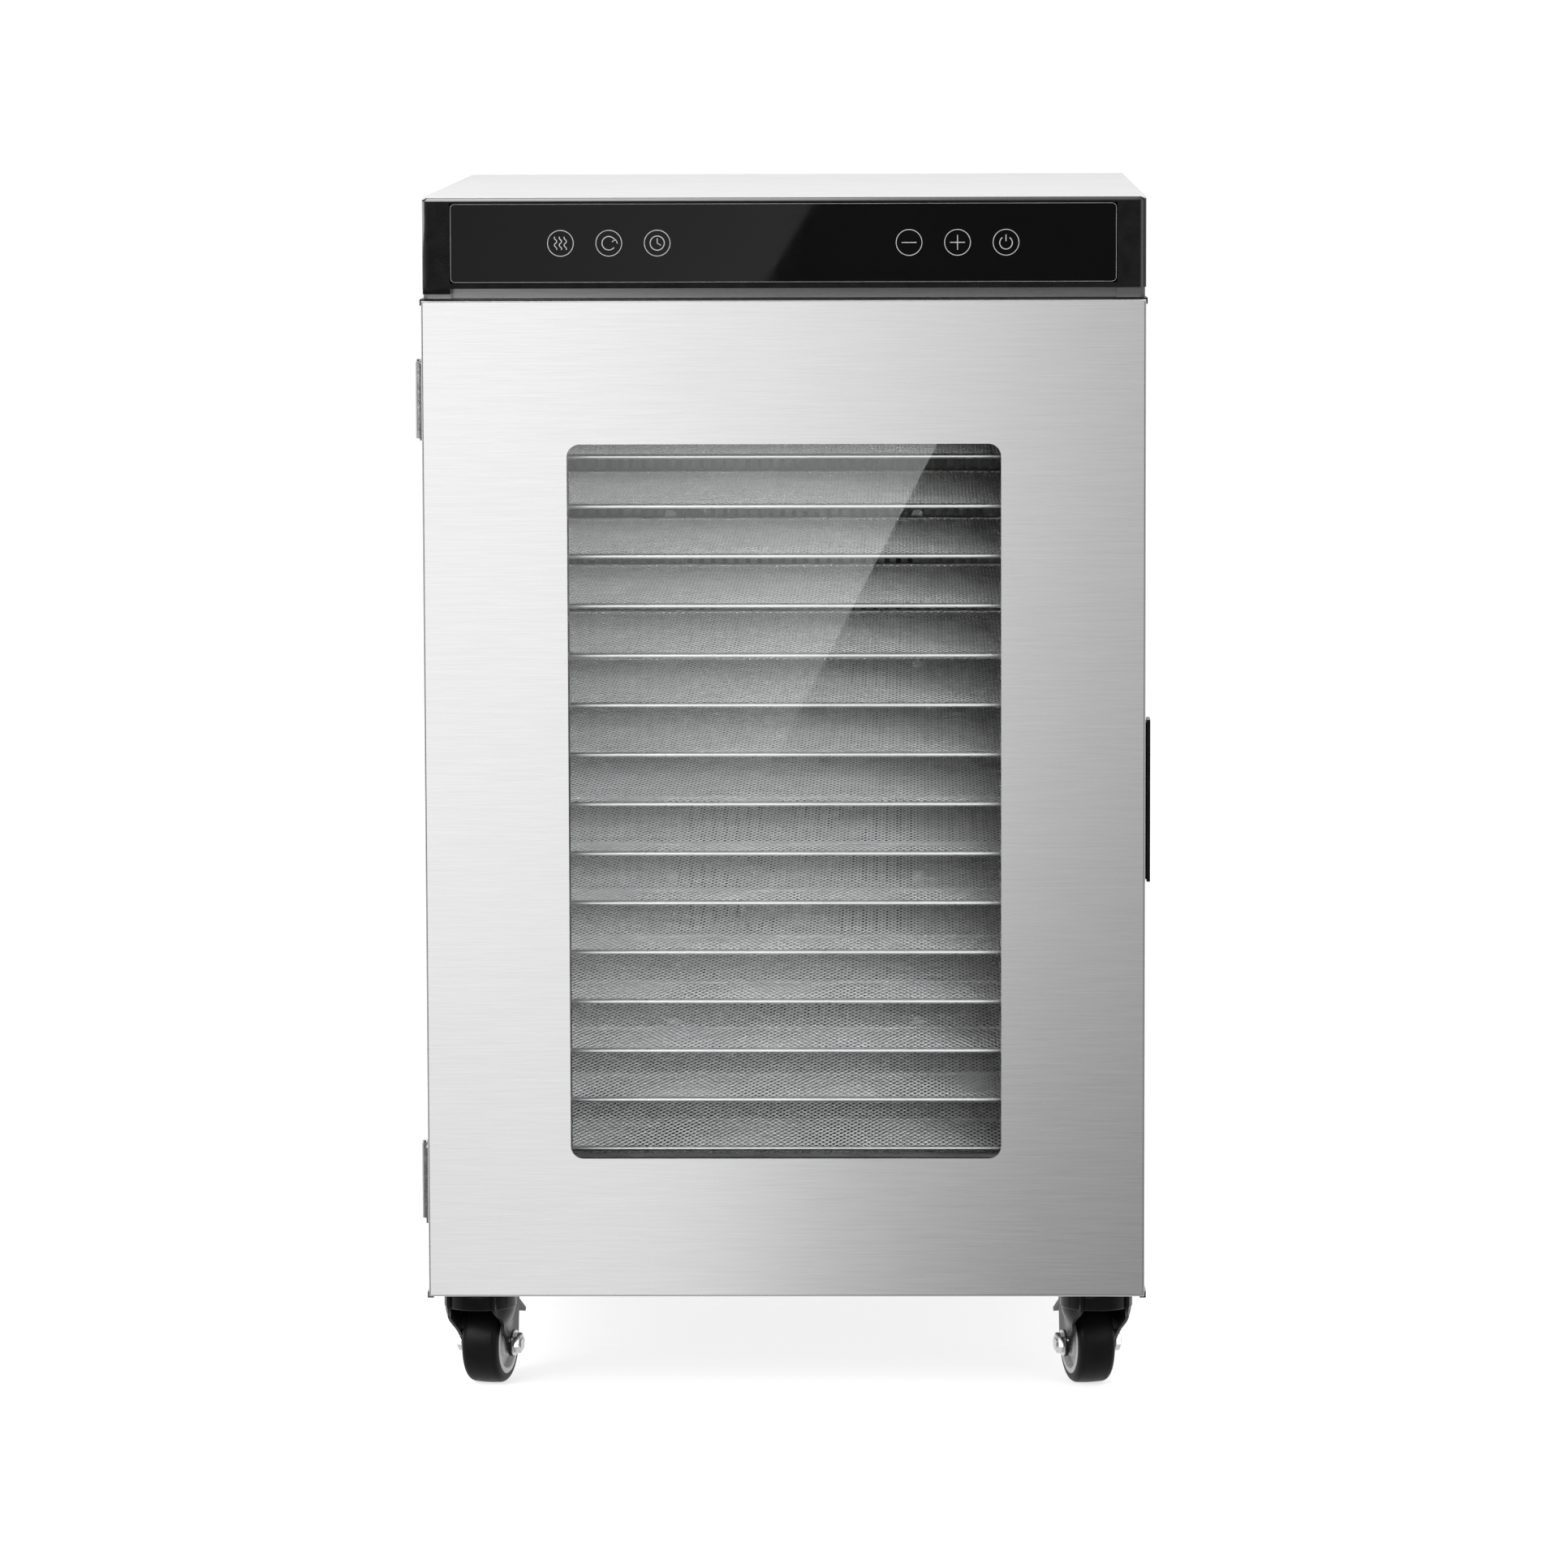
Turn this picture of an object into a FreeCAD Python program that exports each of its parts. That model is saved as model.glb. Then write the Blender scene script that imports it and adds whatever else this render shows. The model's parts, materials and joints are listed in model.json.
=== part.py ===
import FreeCAD, Part
import math
import os

import Sketcher
from FreeCAD import Placement, Rotation, Vector

# Food dehydrator: a steel cabinet on four casters, with a glazed door hung on its left,
# sixteen sliding trays, and two fans with ring heaters behind a slotted baffle.
# The origin is on the floor below the cabinet's centre. +Z is up and the door faces -Y.

doc = FreeCAD.newDocument("FoodDehydrator")
sheet = doc.addObject("Spreadsheet::Sheet", "Sizes")

SIZES = {
    # cabinet
    "cab_width": 450.0,
    "cab_depth": 560.0,
    "cab_height": 685.0,
    "plate": 1.2,
    "liner_plate": 1.0,
    "fit_gap": 0.2,
    # control housing above the door
    "fascia_height": 56.0,
    "fascia_wall": 2.5,
    "fascia_front": 5.0,
    "fascia_corner": 6.0,
    "fascia_gap": 7.4,
    "panel_border": 18.3,
    "panel_margin": 3.3,
    "panel_glass": 2.5,
    "panel_corner": 3.0,
    "panel_ledge": 6.0,
    "key_radius": 7.0,
    "key_first": 78.0,
    "key_pitch": 30.0,
    "board_thick": 1.6,
    "foot_height": 3.5,
    # door
    "door_thick": 26.0,
    "door_gap": 3.0,
    "door_drop": 4.3,
    "door_fold": 1.5,
    "window_border": 90.0,
    "window_rise": 87.8,
    "window_drop": 89.4,
    "window_corner": 8.0,
    "glass_thick": 4.0,
    "glass_lap": 10.0,
    "window_seal": 1.5,
    "seal_width": 9.0,
    "seal_inset": 5.0,
    "cap_size": 3.0,
    "cap_proud": 0.8,
    "handle_height": 101.6,
    "handle_width": 20.0,
    "handle_depth": 16.0,
    "handle_wall": 1.5,
    "handle_lip": 2.2,
    "handle_step": 0.8,
    # hinges
    "hinge_height": 48.0,
    "hinge_barrel": 2.5,
    "hinge_leaf": 1.5,
    "hinge_reach": 22.0,
    "hinge_clear": 0.4,
    "hinge_top_drop": 63.0,
    "hinge_low_rise": 70.0,
    "pin_radius": 1.2,
    "running_gap": 0.05,
    "knuckles": 4,
    # chamber and trays
    "chamber_inset": 27.0,
    "roof_bay": 138.5,
    "fan_bay": 176.0,
    "tray_side_gap": 3.0,
    "tray_count": 16,
    "tray_setback": 20.0,
    "tray_back_gap": 5.0,
    "tray_bar": 3.0,
    "tray_rim": 5.0,
    "tray_mesh": 0.6,
    "base_space": 30.5,
    "first_tray": 20.0,
    "roof_space": 25.0,
    "ledge_width": 10.0,
    "ledge_thick": 1.2,
    "ledge_gap": 0.3,
    # baffle, fans and heaters
    "slot_width": 3.2,
    "slot_margin": 18.6,
    "slot_end": 26.0,
    "slot_bridge": 24.0,
    "slot_count": 47,
    "slot_rows": 4,
    "fan_radius": 70.0,
    "fan_depth": 24.0,
    "fan_hub": 20.0,
    "fan_standoff": 14.0,
    "fan_blades": 7,
    "screw_spread": 3.0,
    "blade_width": 28.0,
    "blade_thick": 1.6,
    "blade_pitch": 32.0,
    "shaft_radius": 4.0,
    "motor_radius": 38.0,
    "motor_length": 52.0,
    "heater_clear": 10.0,
    "heater_tube": 4.0,
    "heater_gap": 5.0,
    "probe_length": 46.0,
    "probe_radius": 3.0,
    "probe_drop": 9.0,
    "probe_clip": 4.0,
    "screw_head": 4.0,
    "screw_rise": 2.0,
    # rear panel
    "vent_width": 150.0,
    "vent_slot": 5.0,
    "vent_pitch": 12.0,
    "vent_count": 8,
    "inlet_inset": 75.0,
    "inlet_rise": 55.0,
    "inlet_width": 27.0,
    "inlet_height": 20.0,
    "inlet_depth": 18.0,
    "inlet_flange": 1.5,
    "inlet_wall": 2.0,
    "flange_ear": 11.0,
    # power board
    "power_width": 160.0,
    "power_depth": 110.0,
    "power_shift": -70.0,
    "power_front": -40.0,
    "pillar_height": 6.0,
    "pillar_radius": 3.0,
    "pillar_inset": 8.0,
    # casters
    "caster_side_inset": 29.0,
    "caster_inset": 30.0,
    "caster_inset_rear": 50.0,
    "caster_trail": 20.0,
    "caster_yaw": 15.0,
    "caster_plate": 50.0,
    "plate_thick": 2.5,
    "race_height": 4.2,
    "head_radius": 23.0,
    "head_height": 16.0,
    "crown_space": 14.3,
    "fork_steel": 2.0,
    "wheel_gap": 2.0,
    "wheel_radius": 26.0,
    "wheel_width": 24.0,
    "tread_wall": 6.0,
    "tyre_round": 5.0,
    "axle_radius": 4.0,
    "nut_radius": 6.6,
    "nut_height": 6.0,
    "kingpin_radius": 5.0,
    "pedal_width": 27.0,
    "pedal_thick": 2.5,
    "pedal_reach": 29.0,
    "pedal_slope": 31.0,
    "pedal_barrel": 3.6,
    "pedal_pin": 2.0,
    # wires
    "loom_radius": 3.0,
}


class Size:
    """A size that keeps its number and the formula that gives it from the sheet."""

    def __init__(self, number, formula):
        self.number = number
        self.formula = formula

    def __add__(self, other):
        return combined(self, "+", other)

    def __radd__(self, other):
        return combined(other, "+", self)

    def __sub__(self, other):
        return combined(self, "-", other)

    def __rsub__(self, other):
        return combined(other, "-", self)

    def __mul__(self, other):
        return combined(self, "*", other)

    def __rmul__(self, other):
        return combined(other, "*", self)

    def __truediv__(self, other):
        return combined(self, "/", other)

    def __neg__(self):
        return combined(0, "-", self)


def number(value):
    """The number that a size, or a plain number, stands for."""
    return value.number if isinstance(value, Size) else float(value)


def formula(value):
    """The text of a size for the sheet's formulas."""
    return value.formula if isinstance(value, Size) else repr(float(value))


def combined(first, sign, second):
    """The size that two sizes, or a size and a number, make."""
    a, b = number(first), number(second)
    result = {"+": a + b, "-": a - b, "*": a * b, "/": a / b if b else 0.0}[sign]
    return Size(result, f"({formula(first)} {sign} {formula(second)})")


def fill_sheet():
    """Writes each driving size to the sheet and returns them as sizes by name."""
    found = {}
    for row, (name, value) in enumerate(SIZES.items(), start=1):
        sheet.set(f"A{row}", name)
        sheet.set(f"B{row}", str(value))
        sheet.setAlias(f"B{row}", name)
        found[name] = Size(value, f"Sizes.{name}")
    doc.recompute()
    return found


size = fill_sheet()
plate = size["plate"]
fit_gap = size["fit_gap"]
running_gap = size["running_gap"]

# planes that the pieces share
side = size["cab_width"] / 2
head_top = 2 * size["wheel_radius"] + size["crown_space"]
plate_low = head_top + size["race_height"]
front = -size["cab_depth"] / 2
rear = size["cab_depth"] / 2
under = plate_low + size["plate_thick"]
top = under + size["cab_height"]
inner_side = side - plate
inner_rear = rear - plate
fascia_low = top - size["fascia_height"]
door_top = fascia_low - size["fascia_gap"]
door_low = under - size["door_drop"]
door_back = front + size["door_thick"]
frame_face = door_back + size["door_gap"]
frame_back = frame_face + plate
chamber_side = side - size["chamber_inset"]
chamber_low = under + size["base_space"]
chamber_top = top - size["roof_bay"]
tray_low = chamber_low + size["first_tray"]
tray_top = chamber_top - size["roof_space"]
tray_pitch = (tray_top - tray_low) / (size["tray_count"] - 1)
tray_side = chamber_side - size["tray_side_gap"]
baffle_face = rear - size["fan_bay"]
tray_front = frame_face + size["tray_setback"]
tray_back = baffle_face - size["tray_back_gap"]
baffle_back = baffle_face + plate
window_side = side - size["window_border"]
window_low = door_low + size["window_rise"]
window_top = door_top - size["window_drop"]
glass_front = front + plate + size["window_seal"]
glass_back = glass_front + size["glass_thick"]
hinge_x = -side - size["hinge_barrel"] - size["hinge_clear"]
hinge_y = door_back + size["door_gap"] / 2
hinge_heights = (door_top - size["hinge_top_drop"], door_low + size["hinge_low_rise"])
chamber_middle = (chamber_low + chamber_top) / 2
slot_pitch = 2 * (chamber_side - size["slot_margin"]) / (size["slot_count"] - 1)
slot_space = chamber_top - chamber_low - 2 * size["slot_end"] + size["slot_bridge"]
slot_height = slot_space / size["slot_rows"] - size["slot_bridge"]
heater_radius = size["fan_radius"] + size["heater_clear"]
half_spacing = heater_radius + size["heater_tube"] + size["heater_gap"]
fan_heights = (chamber_middle + half_spacing, chamber_middle - half_spacing)
fan_front = baffle_back + size["fan_standoff"]
fan_back = fan_front + size["fan_depth"]
motor_back = inner_rear - size["screw_head"] * 3
motor_front = motor_back - size["motor_length"]
panel_side = side - size["panel_border"]
panel_low = fascia_low + size["panel_margin"]
panel_top = top - size["panel_margin"]
key_height = (panel_low + panel_top) / 2
inlet_x = side - size["inlet_inset"]
inlet_z = under + size["inlet_rise"]
power_left = size["power_shift"] - size["power_width"] / 2
power_front = size["power_front"]
power_floor = chamber_top + size["liner_plate"]
power_low = power_floor + size["pillar_height"]
power_top = power_low + size["board_thick"]
loom_x = -30.0
PLUG_DEPTH = 8.0

nodes = {}

# how a shape that grows along Z is turned to grow along another axis
TURNS = {
    "x": Rotation(Vector(0, 1, 0), 90),
    "y": Rotation(Vector(1, 0, 0), -90),
    "z": Rotation(),
}


def bind(thing, name, value):
    """Ties a property to the sheet, or sets it where the value is a plain number."""
    if isinstance(value, Size):
        thing.setExpression(name, value.formula)
    else:
        setattr(thing, name, value)


def place(thing, x, y, z, rotation=None):
    """Puts a shape's own origin at a point, with each coordinate tied to the sheet."""
    turn = rotation if rotation is not None else Rotation()
    thing.Placement = Placement(Vector(number(x), number(y), number(z)), turn)
    for axis, value in zip("xyz", (x, y, z)):
        if isinstance(value, Size):
            thing.setExpression(f"Placement.Base.{axis}", value.formula)
    return thing


def node(label, thing):
    """Names a finished sub-part."""
    thing.Label = label
    nodes[label] = thing
    return thing


def block(name, x, y, z):
    """A block between two places along each axis."""
    shape = doc.addObject("Part::Box", name)
    bind(shape, "Length", x[1] - x[0])
    bind(shape, "Width", y[1] - y[0])
    bind(shape, "Height", z[1] - z[0])
    return place(shape, x[0], y[0], z[0])


def rod(name, radius, length, start, axis="z"):
    """A round bar that starts at a point and grows along an axis."""
    shape = doc.addObject("Part::Cylinder", name)
    bind(shape, "Radius", radius)
    bind(shape, "Height", length)
    return place(shape, *start, TURNS[axis])


def hexagon(name, radius, length, start, axis="z"):
    """A six-sided bar, such as a nut, over its corners."""
    shape = doc.addObject("Part::Prism", name)
    shape.Polygon = 6
    bind(shape, "Circumradius", radius)
    bind(shape, "Height", length)
    return place(shape, *start, TURNS[axis])


def fuse(name, shapes):
    """One solid from shapes that meet."""
    result = doc.addObject("Part::MultiFuse", name)
    result.Shapes = shapes
    result.Refine = True
    return result


def group(name, shapes):
    """Separate solids kept together."""
    result = doc.addObject("Part::Compound", name)
    result.Links = shapes
    return result


def cut(name, base, tools):
    """A shape with other shapes taken out of it."""
    result = doc.addObject("Part::Cut", name)
    result.Base = base
    result.Tool = tools[0] if len(tools) == 1 else fuse(f"{name}_tools", tools)
    return result


def new_body(name):
    return doc.addObject("PartDesign::Body", name)


def sketch_in(body, plane, at):
    """An empty sketch on one of the body's planes, moved to a place along its normal axis."""
    sketch = body.newObject("Sketcher::SketchObject", f"{body.Name}_sketch")
    base = [item for item in body.Origin.OriginFeatures if item.Role == plane][0]
    sketch.AttachmentSupport = [(base, "")]
    sketch.MapMode = "FlatFace"
    offset = -at if plane == "XZ_Plane" else at
    bind(sketch, "AttachmentOffset.Base.z", offset)
    return sketch


def hold(sketch, kind, *picks):
    """Adds one constraint; a size at the end is tied to the sheet."""
    value = picks[-1]
    if isinstance(value, Size):
        index = sketch.addConstraint(Sketcher.Constraint(kind, *picks[:-1], value.number))
        sketch.setExpression(f"Constraints[{index}]", value.formula)
    else:
        sketch.addConstraint(Sketcher.Constraint(kind, *picks))


def draw_rectangle(sketch, left, right, low, high):
    """A rectangle whose four sides are tied to the sketch's own origin."""
    x = (number(left), number(right))
    y = (number(low), number(high))
    corners = [Vector(x[i], y[j], 0) for i, j in ((0, 0), (1, 0), (1, 1), (0, 1))]
    first = sketch.GeometryCount
    for i in range(4):
        sketch.addGeometry(Part.LineSegment(corners[i], corners[(i + 1) % 4]))
    for i in range(4):
        hold(sketch, "Coincident", first + i, 2, first + (i + 1) % 4, 1)
        hold(sketch, "Vertical" if i % 2 else "Horizontal", first + i)
    hold(sketch, "DistanceX", -1, 1, first, 1, left)
    hold(sketch, "DistanceY", -1, 1, first, 1, low)
    hold(sketch, "DistanceX", -1, 1, first + 2, 1, right)
    hold(sketch, "DistanceY", -1, 1, first + 2, 1, high)


def draw_circle(sketch, x, y, radius):
    """A circle whose centre is tied to the sketch's own origin."""
    centre = Vector(number(x), number(y), 0)
    index = sketch.addGeometry(Part.Circle(centre, Vector(0, 0, 1), number(radius)))
    hold(sketch, "DistanceX", -1, 1, index, 3, x)
    hold(sketch, "DistanceY", -1, 1, index, 3, y)
    hold(sketch, "Radius", index, radius)


def pad(body, sketch, length, reverse=False):
    feature = body.newObject("PartDesign::Pad", f"{body.Name}_pad")
    feature.Profile = sketch
    bind(feature, "Length", length)
    feature.Reversed = reverse
    sketch.Visibility = False
    return feature


def pocket(body, sketch, length, reverse=False):
    """Cuts a sketch into the body; it must take something away."""
    doc.recompute()
    before = body.Shape.Volume
    feature = body.newObject("PartDesign::Pocket", f"{body.Name}_pocket")
    feature.Profile = sketch
    bind(feature, "Length", length)
    feature.Reversed = reverse
    doc.recompute()
    if body.Shape.Volume > before - 1:
        raise RuntimeError(f"a pocket in {body.Name} takes nothing away")
    return feature


def round_edges(body, radius, wanted):
    """Rounds the edges of a body for which wanted(edge) is true."""
    doc.recompute()
    feature = body.Tip
    names = [f"Edge{i}" for i, edge in enumerate(feature.Shape.Edges, 1) if wanted(edge)]
    fillet = body.newObject("PartDesign::Fillet", f"{body.Name}_fillet")
    fillet.Base = (feature, names)
    bind(fillet, "Radius", radius)
    return fillet


def runs_along(edge, axis):
    """True for a straight edge along one axis."""
    start, end = edge.Vertexes[0].Point, edge.Vertexes[-1].Point
    step = end - start
    return step.Length > 0 and abs(abs(step.dot(axis)) - step.Length) < 1e-6


def middle(edge):
    box = edge.BoundBox
    return box.Center


def near(value, wanted):
    return abs(value - number(wanted)) < 0.01


# ---- cabinet shell ----------------------------------------------------------------------


def build_side_panels():
    for name, low in (("side_panel_left", -side), ("side_panel_right", inner_side)):
        node(name, block(name, (low, low + plate), (frame_face, rear), (under, top - plate)))


def build_top_panel():
    """The lid runs forward over the control housing, behind that housing's front lip."""
    lid_front = front + size["fascia_wall"] + fit_gap
    body = new_body("top_panel")
    sketch = sketch_in(body, "XY_Plane", top - plate)
    draw_rectangle(sketch, -side, side, lid_front, rear)
    pad(body, sketch, plate)
    round_edges(
        body,
        size["fascia_corner"] - size["fascia_wall"] + fit_gap,
        lambda edge: runs_along(edge, Vector(0, 0, 1)) and near(middle(edge).y, lid_front),
    )
    node("top_panel", body)


def build_base_panel():
    base = block("base", (-inner_side, inner_side), (frame_face, rear), (under, under + plate))
    node("base_panel", base)


def build_rear_panel():
    """The rear panel, with a field of cooling slots behind each motor and the inlet's hole."""
    panel = block(
        "rear_sheet",
        (-inner_side, inner_side),
        (inner_rear, rear),
        (under + plate, top - plate),
    )
    past = (inner_rear - 1, rear + 1)
    holes = []
    half_field = (size["vent_count"] - 1) * size["vent_pitch"] / 2
    for fan, height in enumerate(fan_heights):
        for row in range(int(SIZES["vent_count"])):
            middle_z = height - half_field + row * size["vent_pitch"]
            holes.append(
                block(
                    f"vent_{fan}_{row}",
                    (-size["vent_width"] / 2, size["vent_width"] / 2),
                    past,
                    (middle_z - size["vent_slot"] / 2, middle_z + size["vent_slot"] / 2),
                )
            )
    holes.append(
        block(
            "inlet_hole",
            (
                inlet_x - size["inlet_width"] / 2 - fit_gap,
                inlet_x + size["inlet_width"] / 2 + fit_gap,
            ),
            past,
            (
                inlet_z - size["inlet_height"] / 2 - fit_gap,
                inlet_z + size["inlet_height"] / 2 + fit_gap,
            ),
        )
    )
    node("rear_panel", cut("rear_panel", panel, holes))


def build_front_frame():
    """The face frame around the chamber's mouth, with the rail that fills the gap below the
    control housing and a tab at each end of it."""
    body = new_body("frame_face")
    sketch = sketch_in(body, "XZ_Plane", frame_face)
    draw_rectangle(sketch, -inner_side, inner_side, under + plate, top - plate)
    draw_rectangle(sketch, -chamber_side, chamber_side, chamber_low, chamber_top)
    pad(body, sketch, plate, reverse=True)
    rail_side = panel_side
    rail_low = door_top + size["hinge_clear"] * 2
    rail = block(
        "rail",
        (-rail_side, rail_side),
        (frame_face - size["seal_width"], frame_face),
        (rail_low, fascia_low),
    )
    tab_front = frame_face - size["seal_width"] * 2
    left_tab = block(
        "left_tab",
        (-inner_side, -rail_side),
        (tab_front, frame_face),
        (rail_low, fascia_low - size["foot_height"]),
    )
    right_tab = block(
        "right_tab", (rail_side, inner_side), (tab_front, frame_face), (rail_low, fascia_low)
    )
    frame = fuse("frame_with_rail", [body, rail, left_tab, right_tab])
    wire_hole = rod(
        "wire_hole",
        size["loom_radius"] + 2,
        size["seal_width"] * 3,
        (loom_x, frame_face - size["seal_width"], key_height),
        "y",
    )
    node("front_frame", cut("front_frame", frame, [wire_hole]))


# ---- chamber ----------------------------------------------------------------------------


def tray_height(index):
    """Height of a tray's middle plane; tray 1 is the uppermost."""
    return tray_top - (index - 1) * tray_pitch


def build_liners():
    """The chamber's two side walls, each with a ledge under every tray."""
    liner = size["liner_plate"]
    ends = (frame_back, baffle_back)
    rise = (chamber_low - liner, chamber_top + liner)
    for label, out in (("liner_left", -1), ("liner_right", 1)):
        wall = sorted((chamber_side * out, (chamber_side + liner) * out), key=number)
        shapes = [block(f"{label}_wall", wall, ends, rise)]
        for index in range(1, int(SIZES["tray_count"]) + 1):
            ledge_top = tray_height(index) - size["tray_bar"] / 2 - size["ledge_gap"]
            reach = sorted(
                (chamber_side * out, (chamber_side - size["ledge_width"]) * out), key=number
            )
            shapes.append(
                block(
                    f"{label}_ledge_{index}",
                    reach,
                    (tray_front, tray_back),
                    (ledge_top - size["ledge_thick"], ledge_top),
                )
            )
        node(label, fuse(label, shapes))


def build_chamber_plates():
    liner = size["liner_plate"]
    width = (-chamber_side, chamber_side)
    depth = (frame_back, baffle_back)
    roof = block("roof", width, depth, (chamber_top, chamber_top + liner))
    node("chamber_roof", roof)
    floor = block("floor", width, depth, (chamber_low - liner, chamber_low))
    node("chamber_floor", floor)


def build_air_baffle():
    """The slotted wall between the trays and the fans: rows of tall slots side by side."""
    body = new_body("air_baffle")
    outline = sketch_in(body, "XZ_Plane", baffle_face)
    draw_rectangle(outline, -chamber_side, chamber_side, chamber_low, chamber_top)
    pad(body, outline, plate, reverse=True)
    slots = sketch_in(body, "XZ_Plane", baffle_face)
    first_x = -chamber_side + size["slot_margin"]
    step = slot_height + size["slot_bridge"]
    for row in range(int(SIZES["slot_rows"])):
        low = chamber_low + size["slot_end"] + row * step
        draw_rectangle(
            slots,
            first_x - size["slot_width"] / 2,
            first_x + size["slot_width"] / 2,
            low,
            low + slot_height,
        )
    first = pocket(body, slots, plate)
    pattern = body.newObject("PartDesign::LinearPattern", "slot_row")
    pattern.Originals = [first]
    pattern.Direction = (slots, ["H_Axis"])
    bind(pattern, "Occurrences", size["slot_count"])
    bind(pattern, "Length", (size["slot_count"] - 1) * slot_pitch)
    body.Tip = pattern
    node("air_baffle", body)


def build_trays():
    """Sixteen trays: a rim of flat bar round a thin sheet that stands for the fine mesh."""
    half = tray_side
    rim = size["tray_rim"]
    for index in range(1, int(SIZES["tray_count"]) + 1):
        name = f"tray_{index:02d}"
        z = tray_height(index)
        bar = (z - size["tray_bar"] / 2, z + size["tray_bar"] / 2)
        outer = block(f"{name}_outer", (-half, half), (tray_front, tray_back), bar)
        inner = block(
            f"{name}_inner",
            (-half + rim, half - rim),
            (tray_front + rim, tray_back - rim),
            (bar[0] - 1, bar[1] + 1),
        )
        mesh = block(
            f"{name}_mesh",
            (-half + rim / 2, half - rim / 2),
            (tray_front + rim / 2, tray_back - rim / 2),
            (z - size["tray_mesh"] / 2, z + size["tray_mesh"] / 2),
        )
        node(name, fuse(name, [cut(f"{name}_rim", outer, [inner]), mesh]))


# ---- fans, heaters and controls ---------------------------------------------------------


def build_fan_impellers():
    """Two axial impellers, each a hub with pitched blades, on their motors' shafts."""
    for label, height in zip(("fan_impeller_upper", "fan_impeller_lower"), fan_heights):
        body = new_body(label)
        hub = sketch_in(body, "XZ_Plane", 0 * plate)
        draw_circle(hub, 0 * plate, 0 * plate, size["fan_hub"])
        pad(body, hub, size["fan_depth"], reverse=True)
        doc.recompute()
        blade = body.newObject("PartDesign::AdditiveBox", f"{label}_blade")
        bind(blade, "Length", size["fan_radius"] - size["fan_hub"] / 2)
        bind(blade, "Width", size["blade_width"])
        bind(blade, "Height", size["blade_thick"])
        turn = Rotation(Vector(1, 0, 0), SIZES["blade_pitch"])
        half_blade = Vector(0, SIZES["blade_width"] / 2, SIZES["blade_thick"] / 2)
        centre = Vector(SIZES["fan_hub"] / 2, SIZES["fan_depth"] / 2, 0)
        blade.Placement = Placement(centre - turn.multVec(half_blade), turn)
        ring = body.newObject("PartDesign::PolarPattern", f"{label}_blades")
        ring.Originals = [blade]
        ring.Axis = (hub, ["N_Axis"])
        ring.Angle = 360
        bind(ring, "Occurrences", size["fan_blades"])
        body.Tip = ring
        doc.recompute()
        bore = sketch_in(body, "XZ_Plane", 0 * plate)
        draw_circle(bore, 0 * plate, 0 * plate, size["shaft_radius"] + running_gap)
        pocket(body, bore, size["fan_depth"])
        place(body, 0, fan_front, height)
        node(label, body)


def build_fan_motors():
    """Two motors on posts from the rear panel, each with its shaft reaching into the fan."""
    motors = []
    for index, height in enumerate(fan_heights):
        can = rod(
            f"motor_{index}", size["motor_radius"], size["motor_length"], (0, motor_front, height), "y"
        )
        shaft = rod(
            f"shaft_{index}",
            size["shaft_radius"],
            motor_front - fan_front,
            (0, fan_front, height),
            "y",
        )
        shapes = [can, shaft]
        post_at = size["motor_radius"] * 0.6
        for across in (-1, 1):
            for up in (-1, 1):
                shapes.append(
                    rod(
                        f"post_{index}_{across + 1}_{up + 1}",
                        size["screw_head"],
                        inner_rear - motor_back + 1,
                        (post_at * across, motor_back - 1, height + post_at * up),
                        "y",
                    )
                )
        motor = fuse(f"fan_motor_{index}", shapes)
        motors.append(cut(f"motor_clear_{index}", motor, [gap_below(index, height)]))
    node("fan_motors", group("fan_motors", motors))


def gap_below(index, height):
    """What a post's overlap past the rear panel's inner face would take, cut away."""
    reach = size["motor_radius"]
    return block(
        f"post_end_{index}",
        (-reach, reach),
        (inner_rear, inner_rear + 5),
        (height - reach, height + reach),
    )


def build_heater_elements():
    """A ring of heating tube round each impeller, on three posts from the baffle."""
    rings = []
    middle_y = (fan_front + fan_back) / 2
    for index, height in enumerate(fan_heights):
        ring = doc.addObject("Part::Torus", f"heater_{index}")
        bind(ring, "Radius1", heater_radius)
        bind(ring, "Radius2", size["heater_tube"])
        place(ring, 0, middle_y, height, TURNS["y"])
        shapes = [ring]
        spots = ((1.0, 0.0), (-1.0, 0.0), (0.0, 1.0 if index == 0 else -1.0))
        for spot, (across, up) in enumerate(spots):
            shapes.append(
                rod(
                    f"heater_post_{index}_{spot}",
                    size["heater_tube"] * 0.7,
                    middle_y - baffle_back,
                    (
                        heater_radius * across,
                        baffle_back,
                        height + heater_radius * up,
                    ),
                    "y",
                )
            )
        rings.append(fuse(f"heater_element_{index}", shapes))
    node("heater_elements", group("heater_elements", rings))


def build_temperature_probe():
    """A probe bulb below the chamber's roof, held by two clips."""
    bulb = size["probe_length"]
    clip = size["probe_clip"]
    left = -heater_radius
    y = baffle_face - size["probe_drop"]
    z = chamber_top - size["probe_drop"]
    shapes = [rod("bulb", size["probe_radius"], bulb, (left, y, z), "x")]
    for index, along in enumerate((clip * 2, bulb - clip * 3)):
        shapes.append(
            block(
                f"probe_clip_{index}",
                (left + along, left + along + clip),
                (y - clip, y + clip),
                (z - clip / 2, chamber_top),
            )
        )
    node("temperature_probe", fuse("temperature_probe", shapes))


# what stands on the power board: its ends from the board's left and front, and its height
POWER_BLOCKS = (
    ("transformer", (12, 54), (14, 52), 34),
    ("relay_1", (66, 84), (16, 44), 16),
    ("relay_2", (92, 110), (16, 44), 16),
    ("board_plug", (124, 150), (4, 14), 12),
)
POWER_CANS = (("capacitor_1", 74, 76, 8, 26), ("capacitor_2", 98, 78, 6, 18))


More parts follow.
